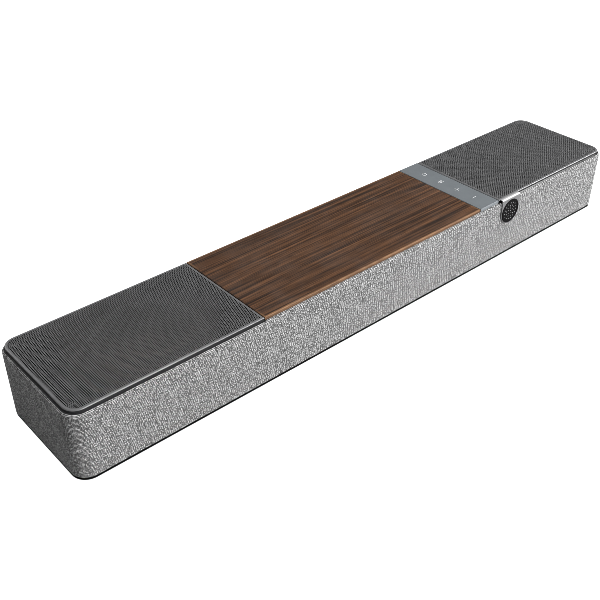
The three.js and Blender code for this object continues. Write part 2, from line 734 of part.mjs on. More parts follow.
piece("usb_port", socket(USB, slotOutline(USB, [0.3, 0.3, 0.3, 0.3])), STEEL);

// The optical socket's spring shutter hangs from its top edge and swings inwards.
const shutterHalf = OPTICAL.slot / 2 - RUNNING;
const shutterAxisZ = SOCKET_Z + OPTICAL.slotHeight / 2 - RUNNING - SHUTTER.thick / 2;
const shutterY = socketFace - SHUTTER.setBack - SHUTTER.thick / 2;
piece(
  "optical_shutter",
  box(
    [OPTICAL.x - shutterHalf, shutterY - SHUTTER.thick / 2, SOCKET_Z - OPTICAL.slotHeight / 2 + RUNNING],
    [OPTICAL.x + shutterHalf, shutterY + SHUTTER.thick / 2, shutterAxisZ + SHUTTER.aboveAxis],
  ),
  BLACK_PLASTIC,
);

const rcaAt = [RCA.x, SOCKET_Z];
const rcaBase = bayFloor + TOUCH;
const rca = joined(
  rod("y", RCA.flange, rcaBase, rcaBase + RCA.flangeThick, rcaAt, 24),
  rod("y", RCA.barrel, bayFloor - BAY.wall - 6, rcaBase + RCA.flangeThick + RCA.barrelLong, rcaAt, 24),
).subtract(
  rod(
    "y",
    RCA.hole,
    rcaBase + RCA.flangeThick + RCA.barrelLong - RCA.holeDeep,
    rcaBase + wide,
    rcaAt,
    12,
  ),
);
connectorPlate = connectorPlate.subtract(rod("y", RCA.barrel + TOUCH, bayFloor - wide, rcaBase, rcaAt, 24));
piece("sub_out_jack", rca, STEEL);
piece("connector_plate", connectorPlate, BLACK_PLASTIC);

// ---- Electronics ---------------------------------------------------------------------------------------
const bayEnd = dividerX - DIVIDER / 2 - BOARD_CLEAR;
const boardFront = -innerY + BOARD_CLEAR + DISPLAY.deep;
const boardRear = bayFloor - BAY.wall - AC_INLET.deep - BOARD_CLEAR;
const boardTop = BOARD_Z + BOARD_THICK;
const boardSplit = BOARD_CLEAR / 2;
piece("main_board", box([-bayEnd, boardFront, BOARD_Z], [-boardSplit, boardRear, boardTop]), BOARD_GREEN);
piece("power_board", box([boardSplit, boardFront, BOARD_Z], [bayEnd, boardRear, boardTop]), BOARD_GREEN);

const partLow = boardTop + TOUCH;
const transformerX = bayEnd - BOARD_CLEAR - TRANSFORMER.length;
const transformerY = boardFront + BOARD_CLEAR;
piece(
  "transformer",
  box(
    [transformerX, transformerY, partLow],
    [transformerX + TRANSFORMER.length, transformerY + TRANSFORMER.width, partLow + TRANSFORMER.height],
  ),
  FERRITE,
);
const capacitorX = boardSplit + BOARD_CLEAR + CAPACITOR.radius;
piece(
  "capacitor",
  rod("z", CAPACITOR.radius, partLow, partLow + CAPACITOR.length, [
    capacitorX,
    boardFront + BOARD_CLEAR + CAPACITOR.radius,
  ]),
  ALUMINIUM,
);

// A comb section: a flat foot with upright fins, run along X.
const sinkWidth = SINK.pitch * (SINK.fins - 1) + SINK.fin;
const sinkX = -boardSplit - BOARD_CLEAR - SINK.length;
const sinkY = boardFront + BOARD_CLEAR;
let sink = box([sinkX, sinkY, partLow], [sinkX + SINK.length, sinkY + sinkWidth, partLow + SINK.foot]);
for (let i = 0; i < SINK.fins; i++) {
  const y = sinkY + i * SINK.pitch;
  sink = sink.add(box([sinkX, y, partLow], [sinkX + SINK.length, y + SINK.fin, partLow + SINK.height]));
}
piece("heat_sink", sink, ALUMINIUM);

const displayFace = -innerY + TOUCH;
piece(
  "display_module",
  box(
    [DISPLAY.x - DISPLAY.length / 2, displayFace, DISPLAY.z - DISPLAY.height / 2],
    [DISPLAY.x + DISPLAY.length / 2, displayFace + DISPLAY.deep, DISPLAY.z + DISPLAY.height / 2],
  ),
  BLACK_PLASTIC,
);

// ---- Speaker looms, from each board's end through the divider to the woofer's basket -------------------
for (const [side, sx] of SIDES) {
  const start = bayEnd - BOARD_CLEAR;
  const basketSide = wooferX - WOOFER.seat;
  const points = [
    [start, LOOM.y, partLow + LOOM.radius + 1],
    [start + 5, LOOM.y, partLow + LOOM.radius + 3],
    [dividerX - 6, LOOM.y, LOOM.z - 1],
    [dividerX, LOOM.y, LOOM.z],
    [dividerX + 5, LOOM.y, LOOM.z + 2],
    [basketSide - 2, LOOM.y - 6, LOOM.z + 14],
    [basketSide - 1, LOOM.y - 10, LOOM.z + 22],
  ].map(([x, y, z]) => new THREE.Vector3(sx * x, y, z));
  const section = new THREE.Shape().absarc(0, 0, LOOM.radius, 0, 2 * Math.PI, false);
  const settings = {
    steps: LOOM.steps,
    curveSegments: LOOM.sides / 2,
    extrudePath: new THREE.CatmullRomCurve3(points),
  };
  piece("speaker_loom_" + side, solidOf(new THREE.ExtrudeGeometry(section, settings)), RUBBER);
}

// The badge stands proud of the front only, so the origin sits at the middle of the whole depth.
soundbar.position.y = (halfDepth - emblemFront) / 2 - halfDepth;

export default soundbar;
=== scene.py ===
# %% [markdown]
# # A compact soundbar
#
# A grey heather cloth is stretched round a long, low cabinet of fibreboard. Two perforated steel
# plates cover the woofers at the ends, and between them lie a walnut panel and a narrow touch strip. A
# steel tab folds over the front edge and carries a round black emblem. The connectors are in a bay at
# the back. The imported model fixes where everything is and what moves.

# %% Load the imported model
import json

import bmesh
import bpy
import numpy as np
from mathutils import Matrix, Vector


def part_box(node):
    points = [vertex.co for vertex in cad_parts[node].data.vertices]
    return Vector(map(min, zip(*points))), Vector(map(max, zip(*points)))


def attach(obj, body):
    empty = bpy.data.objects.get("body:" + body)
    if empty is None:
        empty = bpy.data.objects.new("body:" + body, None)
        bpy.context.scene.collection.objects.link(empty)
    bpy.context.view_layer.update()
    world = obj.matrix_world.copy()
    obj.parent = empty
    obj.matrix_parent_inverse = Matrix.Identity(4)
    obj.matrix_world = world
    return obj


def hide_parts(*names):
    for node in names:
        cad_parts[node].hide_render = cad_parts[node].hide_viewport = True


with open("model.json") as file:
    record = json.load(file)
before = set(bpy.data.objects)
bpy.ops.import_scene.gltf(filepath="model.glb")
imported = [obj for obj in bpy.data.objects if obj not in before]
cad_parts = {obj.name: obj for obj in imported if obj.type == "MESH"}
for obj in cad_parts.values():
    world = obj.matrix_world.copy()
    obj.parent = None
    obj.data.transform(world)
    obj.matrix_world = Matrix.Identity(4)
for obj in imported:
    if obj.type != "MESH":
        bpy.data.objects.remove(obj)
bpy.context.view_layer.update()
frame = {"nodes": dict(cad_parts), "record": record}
scene = bpy.context.scene
MM = 0.001
CABINET = "cabinet"

# %% [markdown]
# ## Measures that many pieces share
#
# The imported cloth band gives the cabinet's outline, and the grilles give the height of the top.

# %% Read the cabinet's measures
cloth_low, cloth_high = (np.array(corner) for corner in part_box("fabric_wrap"))
plate_low, plate_high = (np.array(corner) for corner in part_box("grille_left"))
MIDDLE_Y = (cloth_low[1] + cloth_high[1]) / 2
HALF_LENGTH = cloth_high[0]
HALF_DEPTH = (cloth_high[1] - cloth_low[1]) / 2
CORNER_RADIUS = 15.2 * MM
TOP = plate_high[2]
LEDGE = cloth_high[2]  # top of the folded cloth
PANEL_INSET = plate_low[1] - cloth_low[1]  # panels' edges behind the cloth's face
FRONT_Y = MIDDLE_Y - HALF_DEPTH
print("half length", HALF_LENGTH, "half depth", HALF_DEPTH, "top", TOP, "ledge", LEDGE)

# %% [markdown]
# ## Helpers that turn arrays of points into meshes
#
# Every new shape is a function of two parameters. numpy works all of its points out at once, and the
# mesh takes them in one call.

# %% Put points and faces into a mesh
def make_piece(name, points, faces, flow=None, edge=None, close=True):
    """A mesh object from points (n, 3) and a list of integer arrays (m, k), one for each face size k.
    flow gives each face's corners a place (m, k, 2) in the map called Flow. edge marks each point from
    0 to 1 for polishing and for a painted highlight. close merges points at the same place and turns every
    face outwards."""
    mesh = bpy.data.meshes.new(name)
    points = np.asarray(points, dtype=np.float32)
    corners = np.concatenate([f.reshape(-1) for f in faces]).astype(np.int32)
    totals = np.concatenate([np.full(len(f), f.shape[1]) for f in faces]).astype(np.int32)
    starts = (np.cumsum(totals) - totals).astype(np.int32)
    mesh.vertices.add(len(points))
    mesh.vertices.foreach_set("co", points.reshape(-1))
    mesh.loops.add(len(corners))
    mesh.loops.foreach_set("vertex_index", corners)
    mesh.polygons.add(len(totals))
    mesh.polygons.foreach_set("loop_start", starts)
    mesh.polygons.foreach_set("loop_total", totals)
    if flow is not None:
        places = np.concatenate([f.reshape(-1, 2) for f in flow]).astype(np.float32)
        mesh.uv_layers.new(name="Flow").uv.foreach_set("vector", places.reshape(-1))
    if edge is not None:
        polish_and_highlight = mesh.attributes.new("Edge", "FLOAT", "POINT")
        polish_and_highlight.data.foreach_set("value", np.asarray(edge, dtype=np.float32).reshape(-1))
    mesh.update(calc_edges=True)
    if close:
        work = bmesh.new()
        work.from_mesh(mesh)
        bmesh.ops.remove_doubles(work, verts=work.verts, dist=1e-7)
        bmesh.ops.recalc_face_normals(work, faces=work.faces)
        work.to_mesh(mesh)
        work.free()
    piece = bpy.data.objects.new(name, mesh)
    scene.collection.objects.link(piece)
    return piece


def soften(piece, degrees=35):
    """Faces that meet at less than this angle shade as one, and the rest stay crisp."""
    piece.data.shade_smooth()
    piece.data.set_sharp_from_angle(angle=np.radians(degrees))
    return piece


# %% Join a grid of points with faces
def grid_faces(rows, columns, wrap_rows=False, wrap_columns=False):
    """Faces between neighbours of a (rows, columns) grid. A wrapped direction joins its last line to its
    first. The normal of a face is (next row) x (next column)."""
    i = np.arange(rows if wrap_rows else rows - 1)
    j = np.arange(columns if wrap_columns else columns - 1)
    i, j = np.meshgrid(i, j, indexing="ij")
    i2, j2 = (i + 1) % rows, (j + 1) % columns
    at = lambda a, b: a * columns + b
    return np.stack([at(i, j), at(i2, j), at(i2, j2), at(i, j2)], -1).reshape(-1, 4)


def ring_piece(name, grid, edge=None, capped=False):
    """A profile carried round: grid (stations, profile points, 3). It closes on itself, or when capped
    its first and last points each carry one flat face."""
    rows, columns = grid.shape[:2]
    faces = [grid_faces(rows, columns, True, not capped)]
    if capped:
        at = np.arange(rows) * columns
        faces += [at[None, :], at[None, ::-1] + columns - 1]
    mark = None if edge is None else np.broadcast_to(edge, (rows, columns))
    return make_piece(name, grid.reshape(-1, 3), faces, edge=mark)


# %% Give a sheet two faces and an edge
def sheet_piece(name, front, back, keep=None, wrap=False, flow=None, edge=None):
    """A solid sheet between two grids (rows, columns, 3) of the same size. keep says which cells are
    there. Each edge between a kept and a missing cell gets a wall."""
    rows, columns = front.shape[:2]
    quads = grid_faces(rows, columns, wrap_rows=wrap)
    cells = (rows if wrap else rows - 1, columns - 1)
    keep = np.ones(cells, dtype=bool) if keep is None else keep
    kept = keep.reshape(-1)
    count = rows * columns
    padded = np.zeros((cells[0] + 2, cells[1] + 2), dtype=bool)
    padded[1:-1, 1:-1] = keep
    if wrap:
        padded[0, 1:-1], padded[-1, 1:-1] = keep[-1], keep[0]
    q = quads.reshape(cells + (4,))
    sides = [
        (padded[1:-1, :-2], q[..., 0], q[..., 1]),
        (padded[2:, 1:-1], q[..., 1], q[..., 2]),
        (padded[1:-1, 2:], q[..., 2], q[..., 3]),
        (padded[:-2, 1:-1], q[..., 3], q[..., 0]),
    ]
    walls = []
    for beyond, a, b in sides:
        open_side = keep & ~beyond
        a, b = a[open_side], b[open_side]
        walls.append(np.stack([b, a, a + count, b + count], -1))
    walls = np.concatenate(walls)
    faces = np.concatenate([quads[kept], quads[kept][:, ::-1] + count, walls])
    places = None
    if flow is not None:
        flow = flow.reshape(-1, 2)
        period = np.array([flow[:, 0].max() + flow[columns, 0] - flow[0, 0], 0]) if wrap else 0
        both = np.concatenate([flow, flow])
        places = both[faces]
        if wrap:  # the last column of cells runs on instead of jumping back to the start
            far = places[..., 0] < places[..., 0].max(axis=1, keepdims=True) - period[0] / 2
            places = places + far[..., None] * period
        places = [places]
    points = np.concatenate([front.reshape(-1, 3), back.reshape(-1, 3)])
    used = np.unique(faces)
    new = np.zeros(len(points), dtype=np.int64)
    new[used] = np.arange(len(used))
    if edge is not None:
        edge = np.concatenate([edge.reshape(-1)] * 2)[used]
    return make_piece(name, points[used], [new[faces]], flow=places, edge=edge)


# %% [markdown]
# ## An outline with rounded corners
#
# The cloth and the rims are profiles carried round a rounded rectangle. Each station on the outline
# holds a base point and a direction outwards, which is the longer mitre at a sharp corner.

# %% Stations round a rectangle
def stations(x0, x1, y0, y1, radii, spacing, arc_steps=10, stops_rear=()):
    """Base points, outward directions and distance travelled, anticlockwise from the front left, as the
    radii are too. On an arc the base is centre + radius (cos a, sin a). A radius of 0 gives one mitred
    station."""
    tips = np.array([(x0, y0), (x1, y0), (x1, y1), (x0, y1), (x0, y0)], dtype=float)
    normals = np.array([(0, -1), (1, 0), (0, 1), (-1, 0), (0, -1)])
    base, out = [], []
    for k in range(4):
        ahead = np.array([-normals[k][1], normals[k][0]])
        mitre = normals[k] + normals[k + 1]
        radius = radii[(k + 1) % 4]
        start, end = tips[k] + radii[k] * ahead, tips[k + 1] - radius * ahead
        length = np.linalg.norm(end - start)
        t = np.linspace(0, 1, max(int(round(length / spacing)), 1) + 1)
        if k == 2 and len(stops_rear):
            t = np.unique(np.concatenate([t, (start[0] - np.array(stops_rear)) / length]))
        inner = t[1:-1]
        base.append(start + inner[:, None] * (end - start))
        out.append(np.tile(normals[k], (len(inner), 1)))
        turn = arc(1.0, 90 * k - 90, 90 * k, arc_steps) if radius else mitre[None]
        base.append(tips[k + 1] - radius * mitre + radius * turn)
        out.append(turn)
    base, out = np.concatenate(base).astype(float), np.concatenate(out).astype(float)
    step = np.linalg.norm(np.roll(base, -1, axis=0) - base, axis=1)
    return base, out, np.concatenate([[0], np.cumsum(step)[:-1]])


def carried(base, out, profile):
    """Grid (stations, profile points, 3). A point (inset, height) goes to base - inset x direction."""
    plan = base[:, None, :] - profile[None, :, :1] * out[:, None, :]
    height = np.broadcast_to(profile[:, 1], plan.shape[:2])
    return np.concatenate([plan, height[..., None]], -1)


def arc(radius, start, end, steps):
    """(steps + 1, 2) points of radius (cos a, sin a) from one angle in degrees to another."""
    a = np.radians(np.linspace(start, end, steps + 1))
    return radius * np.stack([np.cos(a), np.sin(a)], -1)


# %% Turn a profile on a lathe
def turned(name, profile, centre, steps, ring=False):
    """A lathe shape about an axis along Y. Profile point (r, h) goes to centre + (r cos a, h, r sin a).
    A profile that starts and ends on the axis closes at its poles. A ring's profile closes on itself."""
    r, h = np.asarray(profile, dtype=float).T
    a = np.linspace(0, 2 * np.pi, steps, endpoint=False)[:, None]
    grid = np.stack([r * np.cos(a), np.broadcast_to(h, (steps, len(r))), r * np.sin(a)], -1)
    grid = grid + np.asarray(centre, dtype=float)
    return make_piece(name, grid.reshape(-1, 3), [grid_faces(steps, len(r), True, ring)])


# %% [markdown]
# ## Camera and light
#
# The camera stands to the left of the front and looks down. A strong soft light from the right front
# picks out the cloth and draws a bright line along the steel edges, which also carry a painted
# highlight. The left end stays dark.

# %% Place the camera
FOCAL = 53.62
HEADING, PITCH, ROLL = -41.1652, 54.9751, 0.0827
CAMERA_AT = (-0.553103, -0.553632 + MIDDLE_Y, 0.534168)
lens = bpy.data.cameras.new("view")
lens.lens, lens.sensor_width, lens.clip_end = FOCAL, 36.0, 100.0
camera = bpy.data.objects.new("view", lens)
aim = Matrix()
for degrees, axis in ((HEADING, "Z"), (PITCH, "X"), (ROLL, "Z")):
    aim = aim @ Matrix.Rotation(np.radians(degrees), 4, axis)
camera.matrix_world = Matrix.Translation(CAMERA_AT) @ aim
scene.collection.objects.link(camera)
scene.camera = camera
scene.view_settings.view_transform = "Standard"
scene.cycles.filter_width = 0.65  # narrower than usual, because the holes and threads are very fine
print("camera", [round(v, 3) for v in camera.location], "focal length", FOCAL)


# %% Hang the lights
def soft_light(name, direction, distance, size, watts):
    """A lamp of size (width, height) at direction x distance, turned to face the bar."""
    lamp = bpy.data.lights.new(name, "AREA")
    lamp.shape, lamp.energy = "RECTANGLE", watts
    lamp.size, lamp.size_y = size
    lamp_object = bpy.data.objects.new(name, lamp)
    place = Vector(direction).normalized() * distance
    turned_in = place.to_track_quat("Z", "Y").to_matrix().to_4x4()
    lamp_object.matrix_world = Matrix.Translation(place) @ turned_in
    scene.collection.objects.link(lamp_object)


soft_light("front_key", (0.2, -0.85, 0.46), 2.6, (1.3, 1.3), 71)
soft_light("right_edge", (0.77, -0.38, 0.5), 2.2, (0.4, 1.2), 32)
soft_light("overhead", (-0.25, 0.1, 1.0), 2.4, (1.4, 1.4), 5)
soft_light("back_fill", (-0.3, 0.85, 0.4), 3.0, (2.0, 2.0), 24)


# %% [markdown]
# ## Small tools for shader nodes
#
# Each helper adds a node and wires it. An input takes a plain value or another node's output.

# %% Add and wire nodes
def connect(tree, socket, value):
    if isinstance(value, bpy.types.NodeSocket):
        tree.links.new(value, socket)
    else:
        socket.default_value = value


def node(tree, kind, inputs=(), **settings):
    made = tree.nodes.new("ShaderNode" + kind)
    for key, value in settings.items():
        setattr(made, key, value)
    for key, value in dict(inputs).items():
        connect(tree, made.inputs[key], value)
    return made


def sums(tree, operation, *values):
    made = node(tree, "Math", operation=operation)
    for socket, value in zip(made.inputs, values):
        connect(tree, socket, value)
    return made.outputs[0]


def times(tree, a, b):
    return sums(tree, "MULTIPLY", a, b)


def vectors(tree, operation, inputs):
    return node(tree, "VectorMath", inputs, operation=operation).outputs[0]


def scaled(tree, vector, factors):
    return vectors(tree, "MULTIPLY", {0: vector, 1: factors})


def noise(tree, vector, scale, detail=2.0, roughness=0.5):
    inputs = {"Vector": vector, "Scale": scale, "Detail": detail, "Roughness": roughness}
    return node(tree, "TexNoise", inputs).outputs["Fac"]


def spread(tree, value, low, high, to_low=0.0, to_high=1.0):
    """The range from low to high is stretched to a new one, and cut off outside it."""
    inputs = {"Value": value, "From Min": low, "From Max": high, "To Min": to_low, "To Max": to_high}
    return node(tree, "MapRange", inputs).outputs["Result"]


def blended(tree, factor, a, b, kind="MIX"):
    """Colour a where the factor is 0 and b where it is 1."""
    mixer = node(tree, "Mix", {0: factor, 6: a, 7: b}, data_type="RGBA", blend_type=kind)
    return mixer.outputs[2]


def grey(value):
    return (value, value, value, 1.0)


def shades(tree, value, stops):
    """A colour ramp. Each stop is (position, colour)."""
    ramp = node(tree, "ValToRGB", {"Fac": value})
    elements = ramp.color_ramp.elements
    while len(elements) < len(stops):
        elements.new(1.0)
    for element, (position, colour) in zip(elements, stops):
        element.position, element.color = position, colour
    return ramp.outputs["Color"]


# %% Start a node group
def start_group(name, numbers, results):
    """A node group of a place (Vector) and some numbers. Returns the tree, what comes in and goes out."""
    tree = bpy.data.node_groups.new(name, "ShaderNodeTree")
    tree.interface.new_socket("Vector", in_out="INPUT", socket_type="NodeSocketVector")
    for way, labels in (("INPUT", numbers), ("OUTPUT", results)):
        for label in labels:
            tree.interface.new_socket(label, in_out=way, socket_type="NodeSocketFloat")
    return tree, tree.nodes.new("NodeGroupInput").outputs, tree.nodes.new("NodeGroupOutput").inputs


def use_group(tree, group, **inputs):
    made = tree.nodes.new("ShaderNodeGroup")
    made.node_tree = group
    for key, value in inputs.items():
        connect(tree, made.inputs[key.replace("_", " ")], value)
    return made.outputs


# %% [markdown]
# ## Weave
#
# The cloth is a plain weave: each thread passes over one neighbour and under the next. The group
# cuts the surface into cells, one for each crossing, and the upright thread is on top in every other
# one. A thread's section is a half circle, so the height across it is the root of 4 f (1 - f), where f
# runs from 0 to 1 over the thread. The gaps between the rows are the deepest. The low parts of the weave
# are painted darker, a painted shade. Heather yarn is spun from dark and pale fibres, so each crossing
# gets its own tone.

# %% Build the weave group
weave, given, gives = start_group("Plain weave", ["Threads", "Streaks"], ["Height", "Shade", "Painted_shade"])
drift = node(weave, "TexNoise", {"Vector": given["Vector"], "Scale": 45.0, "Detail": 1.0}).outputs["Color"]
wander = vectors(weave, "SUBTRACT", {0: drift, 1: (0.5, 0.5, 0.5)})
closer = scaled(weave, given["Vector"], (1.4, 0.9, 1.0))
straight = vectors(weave, "SCALE", {0: closer, "Scale": given["Threads"]})
count = vectors(weave, "MULTIPLY_ADD", {0: wander, 1: (0.8, 0.8, 0), 2: straight})
parts = node(weave, "SeparateXYZ", {0: count}).outputs
across = [sums(weave, "FRACT", parts[k]) for k in (0, 1)]
number = [sums(weave, "FLOOR", parts[k]) for k in (0, 1)]
crown = []
for f in across:
    arch = times(weave, times(weave, f, 4.0), sums(weave, "SUBTRACT", 1.0, f))
    crown.append(sums(weave, "SQRT", sums(weave, "MAXIMUM", arch, 0.0)))
upright = sums(weave, "FLOORED_MODULO", sums(weave, "ADD", number[0], number[1]), 2.0)
upright_height = times(weave, crown[1], sums(weave, "MULTIPLY_ADD", crown[0], 0.3, 0.7))
level_height = times(weave, crown[1], sums(weave, "MULTIPLY_ADD", crown[0], 0.1, 0.9))
height = node(weave, "Mix", {0: upright, 2: level_height, 3: upright_height}).outputs[0]
cell = node(weave, "CombineXYZ", {0: number[0], 1: number[1], 2: upright}).outputs[0]
own_shade = node(weave, "TexWhiteNoise", {0: cell}, noise_dimensions="3D").outputs["Value"]
slow = [times(weave, part, 0.3) for part in parts[:2]]
far_upright = node(weave, "CombineXYZ", {0: number[0], 1: slow[1]}).outputs[0]
far_level = node(weave, "CombineXYZ", {0: slow[0], 1: number[1]}).outputs[0]
yarn = node(weave, "Mix", {0: upright, 4: far_level, 5: far_upright}, data_type="VECTOR").outputs[1]
yarn_shade = spread(weave, noise(weave, yarn, 0.83, 1.0), 0.25, 0.75)
mixed = node(weave, "Mix", {0: given["Streaks"], 2: own_shade, 3: yarn_shade}).outputs[0]
weave.links.new(height, gives["Height"])
weave.links.new(mixed, gives["Shade"])
# Painted shade: where the weave is low, in the gaps and on the threads' sides, the cloth darkens.
weave.links.new(spread(weave, height, 0.48, 0.95), gives["Painted_shade"])
print("weave group", len(weave.nodes), "nodes")

# %% [markdown]
# ## Walnut grain
#
# A tree's rings, cut along the trunk, show as long bands. They run along X, so the noise is stretched
# in X and tight in Y. A slow noise bends the bands, a fine one gives the fibres, a middling one the
# streaks, and a thresholded one leaves short dark pores.

# %% Build the grain group
grain, given, gives = start_group("Walnut grain", ["Bands"], ["Tone", "Pores", "Height"])
bend = noise(grain, scaled(grain, given["Vector"], (2.6, 22.0, 22.0)), 1.0, 2.0)
place = node(grain, "SeparateXYZ", {0: given["Vector"]}).outputs
ring_at = sums(grain, "MULTIPLY_ADD", place[1], given["Bands"], times(grain, bend, 6.0))
band = sums(grain, "MULTIPLY_ADD", sums(grain, "SINE", times(grain, ring_at, 6.2832)), 0.5, 0.5)
fibres = noise(grain, scaled(grain, given["Vector"], (9, 760, 760)), 1.0, 4.0, 0.7)
streaks = noise(grain, scaled(grain, given["Vector"], (2.5, 400, 400)), 1.0, 4.0, 0.7)
tone = sums(grain, "MULTIPLY_ADD", band, 0.08, times(grain, fibres, 0.72))
tone = sums(grain, "MULTIPLY_ADD", streaks, 0.4, tone)
pits = noise(grain, scaled(grain, given["Vector"], (90, 2600, 2600)), 1.0, 2.0)
pores = spread(grain, pits, 0.61, 0.68)
deep = sums(grain, "MULTIPLY_ADD", pores, -0.7, times(grain, fibres, 0.5))
grain.links.new(spread(grain, tone, 0.47, 0.74), gives["Tone"])
grain.links.new(pores, gives["Pores"])
grain.links.new(deep, gives["Height"])
print("grain group", len(grain.nodes), "nodes")

# %% [markdown]
# ## Surface texture and dust
#
# Plastic, powder paint and board all have a fine pebbled skin. One group gives it as a height and a
# tone. A second one gives dust, in patches on faces that look up. A third one marks edges from the Edge
# values that the new pieces carry, for polishing and for a painted highlight.

# %% Build the skin, dust and polish groups
skin, given, gives = start_group("Fine skin", ["Size"], ["Height", "Tone"])
pebbles = node(skin, "TexVoronoi", {"Vector": given["Vector"], "Scale": given["Size"]}).outputs["Distance"]
cloud = noise(skin, given["Vector"], 60.0, 4.0, 0.6)
grit = noise(skin, given["Vector"], given["Size"], 2.0)
skin.links.new(sums(skin, "MULTIPLY_ADD", grit, 0.6, times(skin, pebbles, 0.6)), gives["Height"])
skin.links.new(sums(skin, "MULTIPLY_ADD", grit, 0.4, times(skin, cloud, 0.6)), gives["Tone"])

dust, given, gives = start_group("Settled dust", ["Amount"], ["Mask"])
looks_up = node(dust, "SeparateXYZ", {0: node(dust, "NewGeometry").outputs["Normal"]}).outputs[2]
patches = spread(dust, noise(dust, given["Vector"], 35.0, 5.0, 0.7), 0.4, 0.75)
lying = times(dust, spread(dust, looks_up, 0.3, 0.95), patches)
dust.links.new(times(dust, lying, given["Amount"]), gives["Mask"])

# Edge marks, for polishing and for a painted highlight on folds and rounded edges.
edge_polish_and_highlight, given, gives = start_group("Polished edge and painted highlight", ["Amount"], ["Mask"])
mark = node(edge_polish_and_highlight, "Attribute", attribute_name="Edge").outputs["Fac"]
uneven = spread(edge_polish_and_highlight, noise(edge_polish_and_highlight, given["Vector"], 90.0, 3.0), 0.25, 0.7, 0.4, 1.0)
patchy_polish_and_highlight = times(edge_polish_and_highlight, mark, uneven)
edge_polish_and_highlight.links.new(times(edge_polish_and_highlight, patchy_polish_and_highlight, given["Amount"]), gives["Mask"])
print("groups", sorted(g.name for g in bpy.data.node_groups))


# %% [markdown]
# ## Finishes
#
# Each finish mixes its colour, roughness and bump from the groups.

# %% Start a finish
def start_finish(name, **constants):
    """A new material. Constants are the same all over the surface."""
    material = bpy.data.materials.new(name)
    material.use_nodes = True
    tree = material.node_tree
    shader = tree.nodes["Principled BSDF"]
    for label, value in constants.items():
        shader.inputs[label.replace("_", " ")].default_value = value
    where = node(tree, "TexCoord").outputs["Object"]
    return material, tree, shader.inputs, where


def bumped(tree, inputs, height, strength, distance):
    values = {"Height": height, "Strength": strength, "Distance": distance}
    tree.links.new(node(tree, "Bump", values).outputs["Normal"], inputs["Normal"])


# %% Mix the heather cloth
cloth_finish, tree, shader, where = start_finish("heather_cloth", Roughness=0.95, Sheen_Weight=0.25)
flow = node(tree, "UVMap", uv_map="Flow").outputs["UV"]
woven = use_group(tree, weave, Vector=flow, Threads=860.0, Streaks=0.22)
greys = [(0.0, 0.04), (0.3, 0.15), (0.5, 0.39), (0.7, 0.55), (1.0, 0.85)]
yarn_colour = shades(tree, woven["Shade"], [(at, grey(value)) for at, value in greys])
flecks = spread(tree, noise(tree, where, 900.0, 2.0), 0.3, 0.7, 0.8, 1.15)
yarn_colour = blended(tree, 1.0, yarn_colour, flecks, "MULTIPLY")
# The cloth's top fold is painted near white in spots: a painted highlight.
painted_fold_highlight = use_group(tree, edge_polish_and_highlight, Vector=where, Amount=1.2)["Mask"]
painted_fold_highlight = times(tree, painted_fold_highlight, spread(tree, noise(tree, where, 420.0, 1.0), 0.42, 0.58))
yarn_colour = blended(tree, painted_fold_highlight, yarn_colour, grey(0.9))
# The gaps and the threads' sides get a painted shade, nearly black.
shadowed = blended(tree, woven["Painted_shade"], grey(0.015), yarn_colour)
connect(tree, shader["Base Color"], shadowed)
fuzz = sums(tree, "MULTIPLY_ADD", noise(tree, where, 3000.0, 2.0), 0.35, woven["Height"])
bumped(tree, shader, fuzz, 0.8, 0.0004)

# %% Mix the walnut
walnut_finish, tree, shader, where = start_finish("walnut", Specular_IOR_Level=0.35)
wood = use_group(tree, grain, Vector=where, Bands=110.0)
browns = [(0.0, (0.024, 0.0125, 0.0072, 1)), (0.4, (0.079, 0.038, 0.0202, 1))]
browns += [(0.7, (0.134, 0.063, 0.031, 1)), (1.0, (0.218, 0.102, 0.049, 1))]
wood_colour = shades(tree, wood["Tone"], browns)
pitted = times(tree, wood["Pores"], 0.75)
wood_colour = blended(tree, pitted, wood_colour, (0.012, 0.006, 0.004, 1))
# The rounded front and back edges are painted lighter: a painted highlight.
polish_and_highlight = use_group(tree, edge_polish_and_highlight, Vector=where, Amount=0.85)["Mask"]
wood_colour = blended(tree, polish_and_highlight, wood_colour, (0.37, 0.2, 0.1, 1))
dusty = use_group(tree, dust, Vector=where, Amount=0.06)["Mask"]
connect(tree, shader["Base Color"], blended(tree, dusty, wood_colour, grey(0.35)))
connect(tree, shader["Roughness"], spread(tree, wood["Tone"], 0.0, 1.0, 0.66, 0.52))
bumped(tree, shader, wood["Height"], 0.35, 0.0002)


